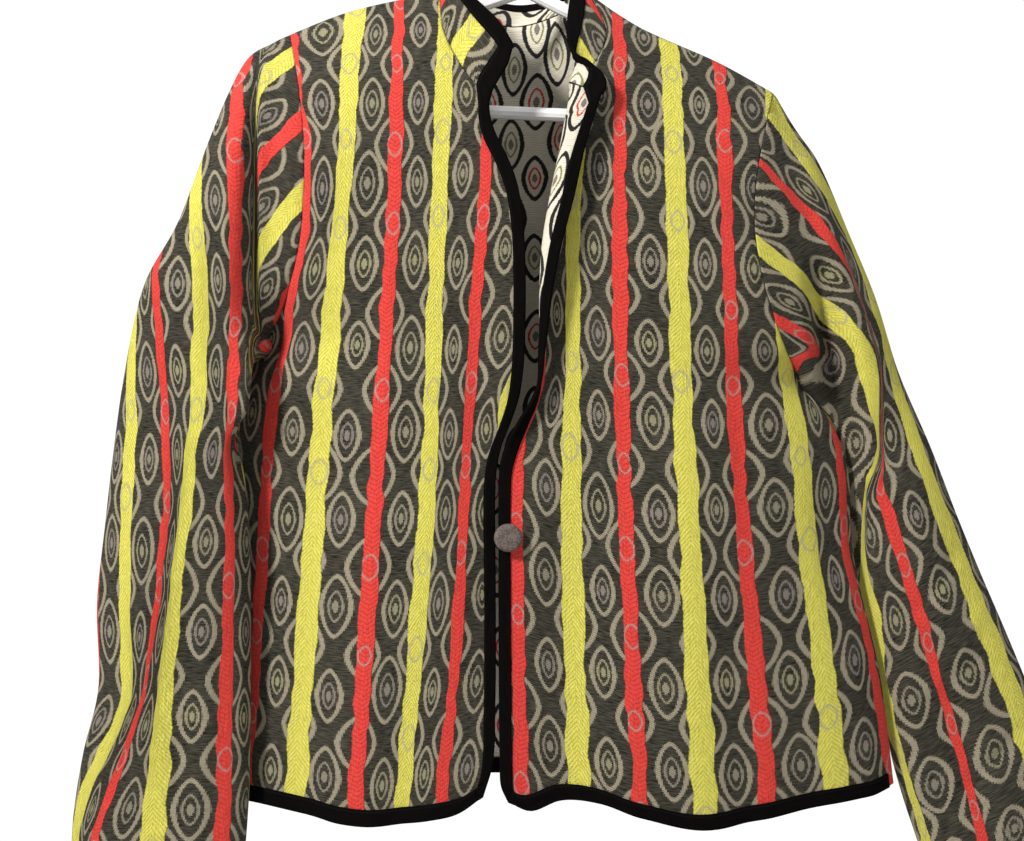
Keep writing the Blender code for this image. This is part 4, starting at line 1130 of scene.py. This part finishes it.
def binding_tape():
    """Black bias tape with a fine slanting twill and a row of stitches near its inner edge."""
    g = Graph("binding_tape")
    u, v = g.cloth()
    slant = v.times(TURN / TWILL, u * (TURN / TWILL)).sine()
    wear = g.cloth_noise(u, v, (0.25, 0.08), detail=4.0)
    colour = g.mix(wear, (0.0006, 0.0005, 0.0005), (0.004, 0.0032, 0.003))
    side = abs(abs(u - 1.0) - STITCH_LINE)
    dash = g.math("WRAP", v, STITCH / 2, -STITCH / 2) > -0.7
    thread = (side < 0.3) * dash
    colour = g.mix(thread * 0.5, colour, (0.011, 0.01, 0.01))
    g.bump(slant.times(0.15, wear.times(0.8, thread * -0.8)), 0.5 * MM)
    return g.finish(colour, 0.9, specular=0.04)


def painted_seam_shade_edge():
    """Cut edge of the cloth along a seam, coloured near-black as painted shade in the seam."""
    g = Graph("painted_seam_shade_edge")
    # near-black colour here is painted shade standing in for the seam's shadow
    noise = g.solid_noise(3.0, 700.0)
    g.bump(noise, 0.3 * MM)
    return g.finish(g.mix(noise, (0.006, 0.006, 0.005), (0.03, 0.028, 0.024)), 0.9)


def button_cover():
    """Mottled grey button."""
    g = Graph("button_grey")
    noise = g.solid_noise(4.0, 900.0)
    coarse = g.solid_noise(2.0, 260.0)
    tone = noise.times(1.6, coarse.times(0.8, -0.75), clamp=True)
    g.bump(noise + coarse, 0.6 * MM)
    return g.finish(g.mix(tone, (0.03, 0.022, 0.019), (0.20, 0.16, 0.14)), 0.6)


def hanger_plastic():
    """White plastic with faint marks from use."""
    g = Graph("hanger_plastic")
    marks = g.solid_noise(5.0, 60.0)
    g.bump(marks, 0.2 * MM)
    return g.finish(g.mix(marks, (0.80, 0.79, 0.78), (0.92, 0.91, 0.90)), 0.32, specular=0.5)


def down_places(flat, points):
    """Place along the stripes, from the top edge's height down."""
    return arc_lengths(points, 0) - flat[0, :, 1][None, :]


def make_front(name, panel_parts, lines, cloth, tape, collar_edge, right):
    """A front's cloth and its binding, which carries on over the collar's end."""
    flat, points = front_panel(*panel_parts)
    across = smooth_rows(stripe_places(flat, points, lines, right), 4)
    places = np.stack([across, down_places(flat, points)], axis=-1)
    piece = cloth_piece(name + "_cloth", points, places, cloth, right)
    first_row = int(round(NECK_SHARE * FINE_ROWS))
    strip = bridged(front_strip(points, first_row, len(SEAM_STEPS) - 1), collar_edge, 0 if right else 1)
    return piece, trim(name + "_trim", strip, tape)


def make_panels(cloth, tape):
    """The six cloth pieces and the binding of each."""
    made = {}
    fractions, collar = collar_panel()
    collar_edge = collar_strip(collar)
    right = (SHOULDER_RIGHT, ARMHOLE_RIGHT, SIDE_RIGHT, NECK_RIGHT, EDGE_RIGHT, HEM_RIGHT, right_front,
             RIGHT_COLUMNS)
    left = (SHOULDER_LEFT, ARMHOLE_LEFT, SIDE_LEFT, NECK_LEFT, roll_edge(), HEM_LEFT, left_front,
            LEFT_COLUMNS)
    made["front_right"], made["binding_front_right"] = make_front(
        "front_right", right, STRIPES_FRONT_RIGHT, cloth, tape, collar_edge, True)
    made["front_left"], made["binding_front_left"] = make_front(
        "front_left", left, STRIPES_FRONT_LEFT, cloth, tape, collar_edge, False)
    flat, points = back_panel()
    length = arc_lengths(points, 1)
    places = np.stack([length - length[:, -1:] * 0.5, down_places(flat, points)], axis=-1)
    made["back"] = cloth_piece("back_cloth", points, places, cloth, True)
    made["binding_back"] = trim("back_trim", hem_strip(points, len(SEAM_STEPS) - 1), tape)
    table = np.array(COLLAR_PLACES)
    across = np.interp(fractions, table[:, 0], table[:, 1])
    places = np.stack([across, arc_lengths(collar, 0)], axis=-1)
    made["collar"] = cloth_piece("collar_cloth", collar, places, cloth, False)
    made["binding_collar"] = trim("collar_trim", collar_edge, tape)
    for side, armhole, rows, folds, lines, outward, seed, tucks in (
            ("right", ARMHOLE_RIGHT, SLEEVE_RIGHT, FOLDS_SLEEVE_RIGHT + CREASES_SLEEVE_RIGHT,
             STRIPES_SLEEVE_RIGHT, -1, 2, TUCKS_RIGHT),
            ("left", ARMHOLE_LEFT, SLEEVE_LEFT, FOLDS_SLEEVE_LEFT + CREASES_SLEEVE_LEFT,
             STRIPES_SLEEVE_LEFT, 1, 3, TUCKS_LEFT)):
        rings, points = sleeve_panel(armhole, rows, folds, outward, seed, tucks)
        places = sleeve_places(rings, points, lines, outward > 0)
        made["sleeve_" + side] = cloth_piece("sleeve_%s_cloth" % side, points, places, cloth, outward > 0)
        made["binding_cuff_" + side] = trim("cuff_%s_trim" % side, hem_strip(points, 0), tape)
    for node, item in made.items():
        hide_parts(node)
    return made


def places_between(x, z, lines, backwards):
    """Place across the stripes of single points, straight between the lines at each point's height."""
    sign = -1.0 if backwards else 1.0
    x = x * sign
    tables = line_tables(lines)
    at = [np.interp(z, table[:, 1], table[:, 0]) * sign for table in tables]
    value = [np.interp(z, table[:, 1], table[:, 2]) for table in tables]
    result = value[0] - (at[0] - x)
    for k in range(len(tables) - 1):
        at[k + 1] = np.maximum(at[k + 1], at[k] + 0.5)
        share = (x - at[k]) / (at[k + 1] - at[k])
        result = np.where(share > 0, value[k] + (value[k + 1] - value[k]) * np.minimum(share, 1.0), result)
    return np.where(x > at[-1], value[-1] + x - at[-1], result)


def sleeve_places(rings, points, lines, backwards):
    """Cloth places of a sleeve: the front follows the lines and the back goes on from the outer fold."""
    half = SLEEVE_COLUMNS // 2
    front = points[:, half:]
    flat = front[..., [0, 2]]
    low = stripe_places(flat, front, lines, backwards)
    cap = places_between(flat[..., 0], flat[..., 1], lines, backwards)
    share = np.clip((rings - 4.0) / 3.0, 0.0, 1.0)[:, None]
    across = smooth_rows(cap + (low - cap) * share * share * (3 - 2 * share), 4)
    length = arc_lengths(points, 1)
    run = length[:, half:half + 1] - length[:, :half]
    settled = smooth_rows(across[:, :1], 240)
    behind = settled + (across[:, :1] - settled) * np.exp(-run / 12.0) - smooth_rows(run, 60)
    lean = math.radians(30.0 if backwards else 0.0)
    down = -(points[..., 2] * math.cos(lean) - points[..., 0] * math.sin(lean))
    if not backwards:
        down = down - 0.56 * np.maximum(0.0, points[..., 0] + 196.0)
    return np.stack([np.concatenate([behind, across], axis=1), down], axis=-1)


def lathe(name, profile, finish):
    """A solid of revolution about Y from radii and y places."""
    points, faces = [], []
    count = len(profile)
    for k in range(BUTTON_SEGMENTS):
        turn = 2 * math.pi * k / BUTTON_SEGMENTS
        points += [(r * math.cos(turn) * MM, y * MM, r * math.sin(turn) * MM) for r, y in profile]
        here, after = k * count, (k + 1) % BUTTON_SEGMENTS * count
        faces += [(here + j, here + j + 1, after + j + 1, after + j) for j in range(count - 1)]
    mesh = bpy.data.meshes.new(name)
    mesh.from_pydata(points, [], faces)
    work = bmesh.new()
    work.from_mesh(mesh)
    bmesh.ops.remove_doubles(work, verts=work.verts[:], dist=0.00001)
    bmesh.ops.recalc_face_normals(work, faces=work.faces[:])
    work.to_mesh(mesh)
    work.free()
    mesh.shade_smooth()
    mesh.materials.append(finish)
    return add_item(name, mesh)


def recolour(node, finish):
    """Gives one of the part's own solids its material."""
    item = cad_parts[node]
    item.data.materials.clear()
    item.data.materials.append(finish)


def make_button(finish, tape):
    """The button, and the tape's cloth on the shank and the loop."""
    low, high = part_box("button")
    half = BUTTON_THICK / 2
    profile = [(r, y - half) for r, y in BUTTON_BACK] + [(r, y + half) for r, y in BUTTON_FACE]
    button = lathe("button_disc", profile, finish)
    button.location = (low + high) / 2
    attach(button, "root")
    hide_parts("button")
    for node in ("button_shank", "button_loop"):
        recolour(node, tape)


def area_light(name, place, target, size, power, colour):
    """Round area light aimed at a place."""
    light = bpy.data.lights.new(name, "AREA")
    light.shape = "DISK"
    light.size = size
    light.energy = power
    light.color = colour
    item = add_item(name, light)
    item.location = place
    item.rotation_euler = (Vector(target) - Vector(place)).to_track_quat("-Z", "Y").to_euler()


def make_stage():
    """Pale floor, pale surroundings, soft light and the photograph's camera."""
    mesh = bpy.data.meshes.new("floor")
    corners = [(-1, -1), (1, -1), (1, 1), (-1, 1)]
    points = [(x * FLOOR_HALF, y * FLOOR_HALF, FLOOR_HEIGHT) for x, y in corners]
    mesh.from_pydata(points, [], [(0, 1, 2, 3)])
    g = Graph("floor_pale")
    soft = g.solid_noise(2.0, 1.5)
    mesh.materials.append(g.finish(g.mix(soft, (0.93, 0.93, 0.93), (0.95, 0.95, 0.94)), 0.9))
    add_item("floor", mesh)
    world = bpy.data.worlds.new("pale")
    bpy.context.scene.world = world
    bpy.context.scene.view_settings.view_transform = "Standard"
    world.use_nodes = True
    nodes, links = world.node_tree.nodes, world.node_tree.links
    nodes["Background"].inputs[0].default_value = (1.0, 1.0, 1.0, 1.0)
    path = nodes.new("ShaderNodeLightPath")
    level = nodes.new("ShaderNodeMath")
    level.operation = "MULTIPLY_ADD"
    level.inputs[1].default_value = WORLD_SEEN
    level.inputs[2].default_value = WORLD_LIGHT
    links.new(path.outputs["Is Camera Ray"], level.inputs[0])
    links.new(level.outputs[0], nodes["Background"].inputs[1])
    for name, light in LIGHTS.items():
        area_light(name, *light)
    data = bpy.data.cameras.new("camera")
    data.lens = LENS
    data.sensor_width = SENSOR
    data.clip_start = 0.05
    camera = add_item("camera", data)
    camera.location = CAMERA_PLACE
    camera.rotation_euler = (math.pi / 2, 0.0, 0.0)
    bpy.context.scene.camera = camera


tape = binding_tape()
pieces = make_panels([outside_cloth(), inside_cloth(), painted_seam_shade_edge()], tape)
make_button(button_cover(), tape)
recolour("hanger", hanger_plastic())
make_stage()
